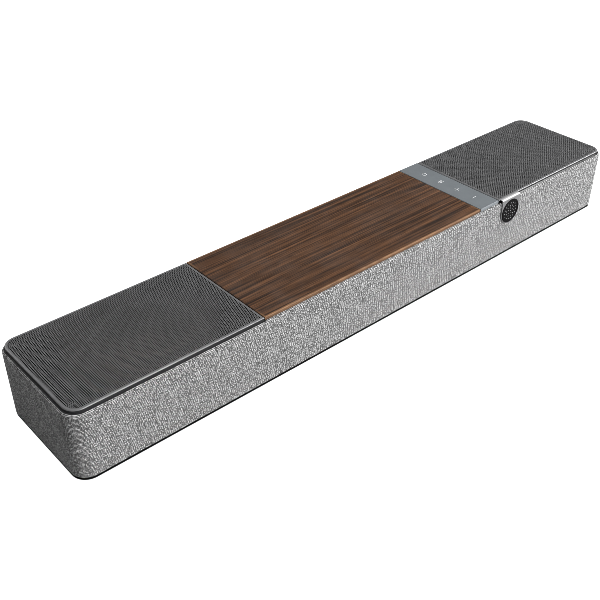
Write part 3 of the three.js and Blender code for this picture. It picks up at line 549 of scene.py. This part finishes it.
# %% Mix painted, moulded and plated finishes
def coated(
    name, colour, rough, size, depth, edge=None, wear=0.6, dust_amount=0.12, metal=0.0, vary=0.25,
    polished=0.25, painted_hole_shade_below=None, **constants
):
    """A finish with a fine skin. The colour swings by vary about its mean, and edges lighten towards
    edge, a painted highlight. Below the given hole height the finish is black: painted shade, as inside a
    hole."""
    material, tree, shader, where = start_finish(name, Metallic=metal, **constants)
    fine = use_group(tree, skin, Vector=where, Size=size)
    low, high = [tuple(c * f for c in colour) + (1.0,) for f in (1 - vary, 1 + vary)]
    shade = blended(tree, spread(tree, fine["Tone"], 0.3, 0.7), low, high)
    # The edge mask lightens the colour, a painted highlight, and lowers the roughness where edges are
    # polished.
    polish_and_highlight = use_group(tree, edge_polish_and_highlight, Vector=where, Amount=wear)["Mask"] if edge is not None else 0.0
    if edge is not None:
        shade = blended(tree, polish_and_highlight, shade, edge + (1.0,))
    dusty = use_group(tree, dust, Vector=where, Amount=dust_amount)["Mask"]
    shade = blended(tree, dusty, shade, grey(0.4))
    # Painted shade: below the given height the colour turns black.
    if painted_hole_shade_below is not None:
        height = node(tree, "SeparateXYZ", {0: where}).outputs[2]
        shade = blended(tree, spread(tree, height, painted_hole_shade_below, painted_hole_shade_below + 0.05 * MM), grey(0.003), shade)
    connect(tree, shader["Base Color"], shade)
    uneven = spread(tree, fine["Tone"], 0.3, 0.7, rough - 0.07, rough + 0.07)
    connect(tree, shader["Roughness"], sums(tree, "MULTIPLY_ADD", polish_and_highlight, -polished, uneven))
    if edge is not None and polished:
        connect(tree, shader["Metallic"], times(tree, polish_and_highlight, 0.8))
    bumped(tree, shader, fine["Height"], depth, 0.00015)
    return material


finishes = {
    # The rims' rounded edges are painted lighter, a painted highlight, and polished smoother and metallic.
    "grille_metal": coated(
        "powder_coated_steel", (0.15, 0.15, 0.154), 0.42, 3200, 0.15, (0.4, 0.4, 0.41), 0.37, polished=0.35
    ),
    # On the hole walls and underneath, the steel is painted black: painted shade inside the holes.
    "perforated": coated(
        "perforated_steel", (0.175, 0.175, 0.179), 0.45, 3200, 0.15, painted_hole_shade_below=TOP - 0.08 * MM
    ),
    # The strip's rounded edges are painted a little lighter: a painted highlight.
    "touch_strip": coated(
        "satin_strip", (0.2, 0.22, 0.235), 0.4, 3500, 0.1,
        edge=(0.26, 0.28, 0.3), dust_amount=0.05, vary=0.08, polished=0.0,
    ),
    "black_plastic": coated("moulded_black", (0.016, 0.016, 0.0175), 0.55, 1800, 0.35, dust_amount=0.06),
    "cabinet_board": coated("painted_fibreboard", (0.006, 0.006, 0.006), 0.8, 900, 0.5, dust_amount=0.03),
    "rubber_foot": coated(
        "foot_rubber", (0.005, 0.005, 0.005), 0.85, 1400, 0.5, dust_amount=0.0, Specular_IOR_Level=0.08
    ),
    "surround_rubber": coated("surround_rubber", (0.016, 0.016, 0.017), 0.5, 2600, 0.15, dust_amount=0.3),
    "cone": coated("pressed_pulp", (0.03, 0.03, 0.032), 0.75, 700, 0.7, dust_amount=0.3),
    "emblem": coated(
        "emblem_black", (0.003, 0.003, 0.0033), 0.55, 3000, 0.1, dust_amount=0.0, Specular_IOR_Level=0.1
    ),
    "screw": coated("zinc_plated", (0.5, 0.5, 0.52), 0.38, 2000, 0.2, metal=1.0),
    "bracket_steel": coated("bracket_plating", (0.42, 0.42, 0.43), 0.42, 1500, 0.25, metal=1.0),
    "port_steel": coated("socket_shell", (0.5, 0.5, 0.51), 0.32, 2500, 0.15, metal=1.0),
    "contact_brass": coated("contact_brass", (0.72, 0.5, 0.2), 0.3, 2500, 0.12, metal=1.0),
    "basket_steel": coated("basket_paint", (0.028, 0.028, 0.029), 0.45, 2200, 0.25, dust_amount=0.3),
    "magnet": coated("sintered_ferrite", (0.05, 0.05, 0.054), 0.6, 1200, 0.6),
    "aluminium_part": coated("extruded_aluminium", (0.6, 0.6, 0.61), 0.35, 1800, 0.2, metal=1.0),
    "transformer_core": coated("varnished_core", (0.09, 0.07, 0.045), 0.45, 1300, 0.4),
    "circuit_board": coated("solder_mask", (0.015, 0.07, 0.03), 0.35, 900, 0.3),
    "loom": coated("loom_sleeve", (0.02, 0.02, 0.02), 0.6, 2000, 0.4),
    "cloth": cloth_finish,
    "walnut": walnut_finish,
}
print("finishes", len(finishes))


# %% Give a piece its finish, its slot and its body
def finish_piece(piece, slot_name, body=CABINET, instead_of=(), finish=None):
    piece.data.materials.append(finish or finishes[slot_name])
    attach(piece, body)
    if instead_of:
        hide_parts(*instead_of)
    print(piece.name, len(piece.data.polygons), "faces")
    return piece


# %% [markdown]
# ## Floor and background
#
# The floor is a large pale sheet under the feet. It glows a little where nothing stands close over it,
# so only the narrow gap below the bar is dark. The world is a plain white dome: the camera sees it at
# full strength, and the object gets only part of its light.

# %% Lay the floor and light the room
FAR = 30.0
floor_corners = [(-FAR, -FAR, 0), (FAR, -FAR, 0), (FAR, FAR, 0), (-FAR, FAR, 0)]
floor = make_piece("floor", floor_corners, [np.array([[0, 1, 2, 3]])], close=False)
paper, tree, shader, where = start_finish("pale_paper", Roughness=0.9)
tree.nodes.remove(tree.nodes["Principled BSDF"])
seen = node(tree, "LightPath").outputs["Is Camera Ray"]
matt = node(tree, "BsdfDiffuse", {"Color": grey(0.45)}).outputs[0]
open_floor = node(tree, "AmbientOcclusion", {"Distance": 0.0035}, samples=16).outputs["AO"]
lit = times(tree, spread(tree, open_floor, 0.12, 0.32), 0.97)
glow = node(tree, "Emission", {"Color": grey(1), "Strength": lit}).outputs[0]
both = node(tree, "AddShader", {0: matt, 1: glow}).outputs[0]
chosen = node(tree, "MixShader", {0: seen, 1: matt, 2: both}).outputs[0]
tree.links.new(chosen, tree.nodes["Material Output"].inputs["Surface"])
floor.data.materials.append(paper)

room = bpy.data.worlds.new("room")
scene.world = room
room.use_nodes = True
tree = room.node_tree
seen = node(tree, "LightPath").outputs["Is Camera Ray"]
dim, bright = (node(tree, "Background", {"Color": grey(1), "Strength": k}).outputs[0] for k in (0.07, 1.0))
shown = node(tree, "MixShader", {0: seen, 1: dim, 2: bright}).outputs[0]
tree.links.new(shown, tree.nodes["World Output"].inputs["Surface"])
print("floor", FAR * 2, "m wide")

# %% [markdown]
# ## Perforated plates
#
# Each plate has thousands of round holes inside a plain rim. It is a grid of square cells, and each
# cell has an eight-sided hole, so the sheet is exact without booleans. The rows bend round the outer
# corners. Each plate is two pieces, to keep them light.

# %% Lay out the cells
RIM = 2.4 * MM  # plain steel round the holes
CORNER_CELLS = 7  # cells that bend round a corner
PLATE_RADIUS = CORNER_RADIUS - PANEL_INSET
HOLE_SIDES = 8
FIELD_RADIUS = PLATE_RADIUS - RIM
CELL = 1.61 * MM
HOLE = 0.46  # radius, as a share of a cell
SHEET = 0.7 * MM
right_low, right_high = (np.array(corner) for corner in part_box("grille_right"))
FIELD_START, FIELD_END = right_low[0] + RIM, right_high[0] - RIM
FIELD_HALF = HALF_DEPTH - PANEL_INSET - RIM
long_cells = int(round((FIELD_END - FIELD_START - FIELD_RADIUS) / CELL)) + CORNER_CELLS
wide_cells = int(round((FIELD_HALF - FIELD_RADIUS) * 2 / CELL)) + 2 * CORNER_CELLS
print("cells", long_cells, "x", wide_cells, "corner radius", FIELD_RADIUS)


# %% Place a point of the cell grid on the plate
def on_plate(u, v):
    """Cell numbers to x and y. In a corner square, with a and b from 0 to 1, the point goes to radius
    max(a, b) at angle 45 degrees x the smaller over the larger, so square rows turn into quarter
    circles."""
    bend_u = long_cells - CORNER_CELLS
    x = np.interp(u, [0, bend_u, long_cells], [FIELD_START, FIELD_END - FIELD_RADIUS, FIELD_END])
    inner = FIELD_HALF - FIELD_RADIUS
    stops = [0, CORNER_CELLS, wide_cells - CORNER_CELLS, wide_cells]
    y = np.interp(v, stops, [-FIELD_HALF, -inner, inner, FIELD_HALF])
    a = np.maximum((x - (FIELD_END - FIELD_RADIUS)) / FIELD_RADIUS, 0)
    b = np.maximum((np.abs(y) - inner) / FIELD_RADIUS, 0)
    larger = np.maximum(np.maximum(a, b), 1e-9)
    angle = np.where(a >= b, np.pi / 4 * b / larger, np.pi / 2 - np.pi / 4 * a / larger)
    bent = (a > 0) & (b > 0)
    x = np.where(bent, FIELD_END - FIELD_RADIUS + FIELD_RADIUS * larger * np.cos(angle), x)
    y = np.where(bent, np.sign(y) * (inner + FIELD_RADIUS * larger * np.sin(angle)), y)
    return x, y


def perforated(name, first, last, side):
    """Cells from column first to column last. Each has four corners and eight hole points, on the top
    and below. Side is 1 for the right plate and -1 for its mirror image."""
    nu, nv = last - first, wide_cells
    gu, gv = np.meshgrid(np.arange(nu + 1) + first, np.arange(nv + 1), indexing="ij")
    i, j = (k.reshape(-1) for k in np.meshgrid(np.arange(nu), np.arange(nv), indexing="ij"))
    turns = np.arange(HOLE_SIDES) * 2 * np.pi / HOLE_SIDES
    hu = i[:, None] + first + 0.5 + HOLE * np.cos(turns)
    hv = j[:, None] + 0.5 + HOLE * np.sin(turns)
    u = np.concatenate([gu.reshape(-1), hu.reshape(-1)])
    v = np.concatenate([gv.reshape(-1), hv.reshape(-1)])
    x, y = on_plate(u, v)
    count = len(x)
    top = np.stack([side * x, y + MIDDLE_Y, np.full(count, TOP)], -1)
    under = top - (0, 0, SHEET)
    corner = [(i + di) * (nv + 1) + j + dj for di, dj in ((1, 0), (1, 1), (0, 1), (0, 0))]
    hole = [gu.size + HOLE_SIDES * (i * nv + j) + k for k in range(HOLE_SIDES)]
    threes, fours, walls = [], [], []
    for k in range(4):
        c0, c1 = corner[k], corner[(k + 1) % 4]
        h0, h1, h7 = hole[2 * k], hole[2 * k + 1], hole[2 * k - 1]
        threes.append(np.stack([c0, h0, h7], -1))
        fours.append(np.stack([c0, c1, h1, h0], -1))
    for k in range(HOLE_SIDES):
        a, b = hole[k], hole[(k + 1) % HOLE_SIDES]
        walls.append(np.stack([a, b, b + count, a + count], -1))
    at = lambda p, q: p * (nv + 1) + q
    run_u, run_v = np.arange(nu), np.arange(nv)
    borders = [
        (at(run_u, 0), at(run_u + 1, 0)),
        (at(nu, run_v), at(nu, run_v + 1)),
        (at(run_u + 1, nv), at(run_u, nv)),
        (at(0, run_v + 1), at(0, run_v)),
    ]
    for a, b in borders:
        walls.append(np.stack([b, a, a + count, b + count], -1))
    threes, fours = np.concatenate(threes), np.concatenate(fours)
    threes = np.concatenate([threes, threes[:, ::-1] + count])
    fours = np.concatenate([fours, fours[:, ::-1] + count] + walls)
    if side < 0:
        threes, fours = threes[:, ::-1], fours[:, ::-1]
    return make_piece(name, np.concatenate([top, under]), [threes, fours], close=False)


# %% Press the perforated fields
middle = long_cells // 2
for word, side in (("right", 1), ("left", -1)):
    for part, first, last in (("inner", 0, middle), ("outer", middle, long_cells)):
        field = perforated(f"grille_{word}_{part}_field", first, last, side)
        finish_piece(field, "grille_metal", instead_of=[f"grille_{word}"], finish=finishes["perforated"])

# %% [markdown]
# ## Rims of the plates
#
# The plain rim is turned down at its edge. Its profile goes up the outside, over a small radius, across
# the top and back under. The small radius catches the light as one bright line, and its colour is lighter
# there too, a painted highlight. A black gasket lies under each rim. The right one is glossy and slopes
# outwards, to mirror the lamp on that side.

# %% Carry the rims round the plates
BEND = 0.9 * MM
gloss = coated("glossy_gasket", (0.003, 0.003, 0.003), 0.24, 3000, 0.05, dust_amount=0.0)
under = TOP - SHEET
turn_a = np.radians(np.linspace(0, 90, 7))
fold = np.stack([BEND * (1 - np.cos(turn_a) ** 1.35), TOP - BEND + BEND * np.sin(turn_a) ** 1.35], -1)
rim_profile = np.concatenate([[(0, under)], fold, [(RIM, TOP), (RIM, under)]])
# The rim's rounded edge carries polishing and a painted highlight.
rim_polish_and_highlight = np.array([0.5] + [1.0] * len(fold) + [0.1, 0])
rim_y = FRONT_Y + PANEL_INSET
for word, side in (("right", 1), ("left", -1)):
    low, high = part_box(f"grille_{word}")
    radii = (0, PLATE_RADIUS, PLATE_RADIUS, 0) if side > 0 else (PLATE_RADIUS, 0, 0, PLATE_RADIUS)
    rear_y = MIDDLE_Y + HALF_DEPTH - PANEL_INSET
    base, out, _ = stations(low[0], high[0], rim_y, rear_y, radii, 12 * MM, 14)
    rim = ring_piece(f"grille_{word}_rim", carried(base, out, rim_profile), rim_polish_and_highlight)
    finish_piece(soften(rim), "grille_metal")
    slope = [(-1.2, -3.46), (-1.2, -3.3), (-1.0, -3.28), (0.1, -2.5 if side > 0 else -3.25)]
    seat = np.array(slope + [(0.15, -1.02), (1.5, -1.02), (1.5, -3.46)]) * MM + (0, TOP)
    gasket = ring_piece(f"grille_{word}_gasket", carried(base, out, seat))
    finish_piece(soften(gasket, 20), "rubber_foot", finish=gloss if side > 0 else finishes["black_plastic"])

# %% [markdown]
# ## The folded tab and its emblem
#
# A tongue of the right plate's steel bends over the front edge and hangs before the cloth. The path
# goes along the top, round a bend and straight down to a half circle, where the half width shrinks as
# a cosine. The emblem is a turned disc with a neutral rosette of small studs.

# %% Bend the tab
emblem_low, emblem_high = (np.array(corner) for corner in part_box("badge_emblem"))
badge_x, _, badge_z = (emblem_low + emblem_high) / 2
badge_radius = (emblem_high[0] - emblem_low[0]) / 2
tab_half = badge_radius + 0.75 * MM
tab_front = min(emblem_high[1], FRONT_Y - 1.3 * MM)
CLEAR = 0.02 * MM  # between the tab and the cloth
tab_thick = FRONT_Y - CLEAR - tab_front
BEND_OUT, BEND_STEPS, DROP_STEPS = 2.0 * MM, 10, 24
turn_centre = (tab_front + BEND_OUT, TOP - BEND_OUT)
flat = np.array([(rim_y + BEND, TOP), (tab_front + BEND_OUT, TOP)])
bend = arc(BEND_OUT, 90, 180, BEND_STEPS)[1:] + turn_centre
bend_in = arc(BEND_OUT - SHEET, 90, 180, BEND_STEPS)[1:] + turn_centre
bend_in[:, 0] += np.linspace(0, 1, BEND_STEPS + 1)[1:] ** 3 * (tab_thick - SHEET)
drop_a = np.radians(np.linspace(0, 89, DROP_STEPS))
drop = np.stack([np.full(DROP_STEPS, tab_front), badge_z - tab_half * np.sin(drop_a)], -1)
outer = np.concatenate([flat, bend, drop])
inner = np.concatenate([flat - (0, SHEET), bend_in, drop + (tab_thick, 0)])
half = np.concatenate([np.full(len(outer) - DROP_STEPS, tab_half), tab_half * np.cos(drop_a)])
across = np.linspace(-1, 1, 13)
faces_of_tab = []
for path in (outer, inner):
    x = badge_x + half[:, None] * across
    y, z = (np.broadcast_to(path[:, k : k + 1], x.shape) for k in (0, 1))
    faces_of_tab.append(np.stack([x, y, z], -1))
bent = np.zeros(len(outer))
bent[1:9] = [0.6, 1, 1, 1, 1, 1, 0.7, 0.3]  # the bend is painted near white as a highlight
tab_fold_highlight = np.broadcast_to(bent[:, None], (len(outer), len(across)))
tab = sheet_piece("badge_tab", faces_of_tab[0], faces_of_tab[1], edge=tab_fold_highlight)
rounding = tab.modifiers.new("rounding", "BEVEL")
rounding.width, rounding.segments, rounding.limit_method = 0.18 * MM, 3, "ANGLE"
rounding.angle_limit = np.radians(50)
# Along the bend the colour turns near white: a painted highlight.
fold_painted_highlight = coated(
    "fold_painted_highlight", (0.19, 0.19, 0.193), 0.4, 3200, 0.1, (0.95, 0.95, 0.95), 1.4, polished=0.0
)
finish_piece(soften(tab), "grille_metal", finish=fold_painted_highlight)
print("tab front", tab_front, "badge centre", badge_x, badge_z)

# %% Turn the emblem
face = emblem_low[1]
thick = emblem_high[1] - face
DISH = 0.55  # the dish's depth, as a share of the disc's thickness
rim_steps = [(2.0, DISH), (1.7, 0.15), (1.4, 0), (0.5, 0), (0.15, 0.2), (0, 0.5), (0, 1)]
profile = [(badge_radius - inset * MM, share * thick) for inset, share in rim_steps]
profile = [(0, DISH * thick)] + profile + [(0, thick)]
disc = turned("badge_disc", profile, (badge_x, face, badge_z), 96)
finish_piece(soften(disc), "emblem", instead_of=["badge_emblem"])


# %% Set the rosette of studs
STUD_SIDES = 8


def studs(name, centres, radius, height, y):
    """Domes that face the front. A ring at rise k has radius r cos(k) and stands h sin(k) proud."""
    a = np.linspace(0, 2 * np.pi, STUD_SIDES, endpoint=False)
    rise = np.radians([0, 0, 35, 65, 90])
    lift = np.array([-0.3, 0, 1, 1, 1]) * np.where(rise > 0, np.sin(rise), 1) * height
    ring_r = radius * np.cos(rise)
    x = ring_r[:, None] * np.cos(a)
    z = ring_r[:, None] * np.sin(a)
    dome = np.stack([x, np.broadcast_to(-lift[:, None], x.shape), z], -1).reshape(-1, 3)
    points = dome[None] + np.stack([centres[:, 0], np.full(len(centres), y), centres[:, 1]], -1)[:, None]
    quads = grid_faces(len(rise), STUD_SIDES, wrap_columns=True)
    offset = (np.arange(len(centres)) * len(dome))[:, None, None]
    fours = (quads[None] + offset).reshape(-1, 4)
    eights = (np.arange(STUD_SIDES) + offset).reshape(-1, STUD_SIDES)
    return make_piece(name, points.reshape(-1, 3), [fours, eights])


RING_GAP, RING_TWIST = 3.2 * MM, 0.26
spots = [np.zeros((1, 2))]
for ring in range(1, 4):
    a = np.linspace(0, 2 * np.pi, 5 * ring, endpoint=False) + RING_TWIST * ring
    spots.append(ring * RING_GAP * np.stack([np.cos(a), np.sin(a)], -1))
spots = np.concatenate(spots) + (badge_x, badge_z)
rosette = studs("badge_rosette", spots, 0.65 * MM, 0.2 * MM, face + DISH * thick)
rosette_grey = coated("rosette_grey", (0.38, 0.38, 0.385), 0.35, 3000, 0.2, dust_amount=0.0)
finish_piece(soften(rosette, 60), "emblem", finish=rosette_grey)

# %% [markdown]
# ## The heather cloth
#
# One band of cloth is stretched round the cabinet and turned in over the top edge of the boards.
# Cells over the rear panel and the two wall plates are left out. The cloth is pulled tight over flat
# boards, so a simulation would add nothing.

# %% Stretch the cloth
CLOTH = 1.2 * MM
FOLD = 2.4 * MM
CLOTH_FOOT, LEDGE_DEPTH = 4.2 * MM, 4.6 * MM
GAP = 0.3 * MM  # round the openings
REAR_HALF, REAR_LOW, REAR_HIGH = 148 * MM, 12 * MM, 56 * MM  # rear panel
key_low, key_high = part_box("keyhole_plate_right")
window_x, window_z = REAR_HALF + GAP, (REAR_LOW - GAP, REAR_HIGH + GAP)
key_x, key_z = (key_low[0] - GAP, key_high[0] + GAP), (key_low[2] - GAP, key_high[2] + GAP)
stops = [-window_x, window_x, -key_x[1], -key_x[0], key_x[0], key_x[1]]
(x0, y0), (x1, y1) = cloth_low[:2], cloth_high[:2]
base, out, run = stations(x0, x1, y0, y1, [CORNER_RADIUS] * 4, 5 * MM, 18, stops)
levels = [CLOTH_FOOT, window_z[0], key_z[0], 40 * MM, key_z[1], window_z[1], 62.5 * MM, LEDGE - FOLD]


def between(values, ends):
    return (values > ends[0]) & (values < ends[1])


def cloth_profile(depth):
    """Up the face, round the fold and inwards, at a depth below the cloth's outside."""
    face = np.stack([np.full(len(levels), depth), levels], -1)
    turn_in = (FOLD - depth) * arc(1.0, 180, 90, 8)[1:] + (FOLD, LEDGE - FOLD)
    return np.concatenate([face, turn_in, [(LEDGE_DEPTH, LEDGE - depth)]])


profile_out, profile_in = cloth_profile(0.0), cloth_profile(CLOTH)
outside = carried(base, out, profile_out)
inside = carried(base, out, profile_in)
along = np.concatenate([[0], np.cumsum(np.linalg.norm(np.diff(profile_out, axis=0), axis=1))])
flow_map = np.stack(np.meshgrid(run, along, indexing="ij"), -1)
next_base = np.roll(base, -1, axis=0)
cell_x, cell_y = (base + next_base).T / 2
cell_rear = cell_y > cloth_high[1] - 1e-5
cell_z = (profile_out[1:, 1] + profile_out[:-1, 1]) / 2
off_middle = np.abs(cell_x)[:, None]
at_window = (off_middle < window_x) & between(cell_z, window_z)
at_keys = between(off_middle, key_x) & between(cell_z, key_z)
keep = ~(cell_rear[:, None] & (at_window | at_keys))
# Marks for the painted highlight along the cloth's top fold.
fold_highlight_marks = np.concatenate([np.zeros(len(levels)), [0.2, 0.6, 1, 1, 1, 0.8, 0.4, 0.1, 0]])
fold_highlight_marks = fold_highlight_marks * np.where(out[:, :1] < -0.5, 1.0, 0.3)  # the painted highlight is strongest on the left end
cloth = sheet_piece("cloth_band", outside, inside, keep, wrap=True, flow=flow_map, edge=fold_highlight_marks)
finish_piece(soften(cloth, 60), "cloth", instead_of=["fabric_wrap"])
# A black lip round the foot: the base's own black trim, made taller to stand in for painted shade along the
# bottom of the cloth.
lip = np.array([(0.3, 1.5), (0.3, 4.05), (0.5, 4.15), (0.78, 4.15), (0.78, 1.5)]) * MM
foot_lip_and_shade = ring_piece("base_lip_and_shade", carried(base, out, lip))
finish_piece(soften(foot_lip_and_shade), "rubber_foot")

# %% [markdown]
# ## The walnut panel and the touch strip
#
# Both are flat plates with a small rounding along their edges, which catches the light. Their front and
# back edges are also painted lighter, a painted highlight.

# %% Shape the flat plates
PLATE_DEPTH = 3.2 * MM


def plate(name, node_name, rounding, edge_width, seam=0.0):
    """The node's box with rounded upper edges. The profile goes up the side, round the edge and
    edge_width in, where the edge marks end. They count where the outline faces +-Y only. The seam is a
    narrow open gap at the right."""
    low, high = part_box(node_name)
    base, out, _ = stations(low[0], high[0] - seam, low[1], high[1], [0] * 4, 20 * MM)
    curve = arc(rounding, 180, 90, 5) + (rounding, TOP - rounding)
    profile = np.concatenate([[(0, TOP - PLATE_DEPTH)], curve, [(rounding + edge_width, TOP)]])
    polish_and_highlight = np.array([0.15, 0.75, 0.85, 1, 1, 1, 1, 0])
    return ring_piece(name, carried(base, out, profile), polish_and_highlight * (out[:, 1:] ** 2 > 0.5), capped=True)


wood_panel = plate("walnut_panel", "wood_panel", 0.7 * MM, 1.6 * MM)
finish_piece(soften(wood_panel), "walnut", instead_of=["wood_panel"])
strip = plate("touch_strip_cover", "control_strip", 0.5 * MM, 0.5 * MM, 0.6 * MM)
finish_piece(soften(strip), "touch_strip", instead_of=["control_strip"])


# %% [markdown]
# ## Signs on the touch strip
#
# Four pale signs are printed on the strip: a switch, a speaker, a plus and a minus. They are ribbons of
# ink, a few hundredths of a millimetre high. A ribbon is a path with a half width on each side of it.

# %% Draw the signs
STROKE = 0.85 * MM


def ribbon(path, width, closed=False):
    """Four points for each place on the path: on each side of it, below and above the surface."""
    path = np.asarray(path, dtype=float)
    ahead = np.roll(path, -1, axis=0) - np.roll(path, 1, axis=0)
    if not closed:
        ahead[0], ahead[-1] = path[1] - path[0], path[-1] - path[-2]
    ahead /= np.linalg.norm(ahead, axis=1, keepdims=True)
    side = np.stack([-ahead[:, 1], ahead[:, 0]], -1) * width / 2
    ink = np.array([-0.02, 0.05]) * MM + TOP
    section = ((1, ink[0]), (-1, ink[0]), (-1, ink[1]), (1, ink[1]))
    rows = [np.concatenate([path + way * side, np.full((len(path), 1), z)], -1) for way, z in section]
    grid = np.stack(rows, 1)
    faces = [grid_faces(len(path), 4, wrap_rows=closed, wrap_columns=True)]
    if not closed:
        ends = np.arange(4)
        faces.append(np.array([ends, 4 * len(path) - 1 - ends]))
    return grid.reshape(-1, 3), np.concatenate(faces)


def sign(name, strokes, centre):
    """Several ribbons as one piece. A stroke is (points in mm about the centre, closed or not)."""
    points, faces, count = [], [], 0
    for path, closed in strokes:
        p, f = ribbon(np.asarray(path) * MM + centre, STROKE, closed)
        points.append(p)
        faces.append(f + count)
        count += len(p)
    return make_piece(name, np.concatenate(points), [np.concatenate(faces)])


strip_low, strip_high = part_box("control_strip")
sign_x = (strip_low[0] + strip_high[0]) / 2 - 0.4 * MM
switch = [(arc(2.5, 125, 415, 28), False), ([(0, 0.6), (0, 3.1)], False)]
speaker = [
    ([(-2.6, -0.9), (-1.4, -0.9), (0.2, -2.2), (0.2, 2.2), (-1.4, 0.9), (-2.6, 0.9)], True),
    (arc(1.6, -45, 45, 8) + (0.2, 0), False),
    (arc(3.0, -45, 45, 12) + (0.2, 0), False),
]
plus = [([(-3.0, 0), (3.0, 0)], False), ([(0, -3.0), (0, 3.0)], False)]
minus = [([(-3.2, 0), (3.2, 0)], False)]
ink = coated("pale_ink", (0.8, 0.81, 0.82), 0.5, 3000, 0.1, dust_amount=0.0, vary=0.05)
signs = [("switch", switch, 34.4), ("source", speaker, 10.3)]
signs += [("plus", plus, -13.2), ("minus", minus, -37.1)]
for name, strokes, y in signs:
    mark = sign("sign_" + name, strokes, np.array([sign_x, MIDDLE_Y + y * MM]))
    finish_piece(mark, "touch_strip", finish=ink)

# %% [markdown]
# ## The back
#
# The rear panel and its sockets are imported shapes. Rims go round the panel and its connector bay, with
# cross recessed screws and a violet collar on the phono socket.

# %% Rim the rear panel and its bay
BAY_HALF, BAY_LOW, BAY_HIGH = 107 * MM, 20 * MM, 48 * MM
panel_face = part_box("rear_panel")[1][1]
bay_bead = [(-1.6, -0.2), (-1.6, 0.1), (-1.3, 0.35), (-0.35, 0.35), (-0.02, 0.1), (-0.02, -0.2)]
panel_bead = [(0.6, -0.1), (0.6, 0.15), (0.9, 0.25), (1.5, 0.25), (1.8, 0.0), (1.8, -0.1)]
rims = [
    ("bay_rim", BAY_HALF, BAY_LOW, BAY_HIGH, 0.3 * MM, bay_bead),
    ("rear_panel_rim", REAR_HALF, REAR_LOW, REAR_HIGH, 1.2 * MM, panel_bead),
]
for name, half_width, low, high, radius, bead in rims:  # a bead is (inset, height) in mm
    base, out, _ = stations(-half_width, half_width, low, high, [radius] * 4, 15 * MM, 6)
    plan = carried(base, out, np.array(bead) * MM)
    upright_plan = np.stack([plan[..., 0], plan[..., 2] + panel_face, plan[..., 1]], -1)
    finish_piece(soften(ring_piece(name, upright_plan), 30), "black_plastic")


# %% Drive the rear screws
HEAD_RADIUS, HEAD_HEIGHT, SLOT_DEPTH = 2.8 * MM, 1.1 * MM, 0.7 * MM
SLOT_HALF, SLOT_REACH = 0.13, 0.3  # of the head's radius, and of its square
SCREWS_MM = [(-138, 34), (-113, 16), (113, 16), (138, 34), (0, 52.2)]


def screw_head(name, x, z, face):
    """A domed head with a cross recess: where |x| or |z| is under the slot's half width, and inside the
    recess's radius, the dome drops to the recess floor."""
    s = np.linspace(-1, 1, 33)
    a, b = np.meshgrid(s, s, indexing="ij")
    big = np.maximum(np.abs(a), np.abs(b))
    length = np.maximum(np.hypot(a, b), 1e-9)
    a, b = a * big / length, b * big / length  # a square grid drawn into a disc
    r2 = a**2 + b**2
    dome = HEAD_HEIGHT * np.sqrt(np.maximum(1 - 0.85 * r2, 0))
    slot = (np.minimum(np.abs(a), np.abs(b)) < SLOT_HALF) & (r2 < SLOT_REACH)
    height = np.where(slot, dome - SLOT_DEPTH, dome)
    x, z = x + HEAD_RADIUS * a, z + HEAD_RADIUS * b
    front = np.stack([x, face + height, z], -1)
    back = np.stack([x, np.full_like(a, face - 0.3 * MM), z], -1)
    return sheet_piece(name, front, back)


for number, (x, z) in enumerate(SCREWS_MM, 1):
    head = screw_head(f"rear_screw_{number}", x * MM, z * MM, panel_face)
    finish_piece(soften(head, 30), "screw")

# %% Fit the phono socket's collar
jack_low, jack_high = (np.array(corner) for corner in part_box("sub_out_jack"))
jack = (jack_low + jack_high) / 2
jack[1] = jack_high[1]
collar = np.array([(1.75, -1.6), (1.75, -0.1), (2.1, 0.15), (3.3, 0.15), (3.5, -0.1), (3.5, -1.6)]) * MM
collar_piece = turned("phono_collar", collar, jack, 48, ring=True)
violet = coated("phono_insulator", (0.16, 0.03, 0.2), 0.4, 2500, 0.1, dust_amount=0.05)
finish_piece(soften(collar_piece, 30), "black_plastic", finish=violet)

# %% [markdown]
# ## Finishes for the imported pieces
#
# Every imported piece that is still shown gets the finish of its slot.

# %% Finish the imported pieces
slot_of = {part["node"]: part["material_slot"] for part in frame["record"]["subparts"]}
for node_name, packed in frame["nodes"].items():
    finish = finishes[slot_of[node_name]]
    if not packed.data.materials:
        packed.data.materials.append(finish)
    for index in range(len(packed.material_slots)):
        packed.material_slots[index].material = finish
print("packed pieces finished", len(slot_of))
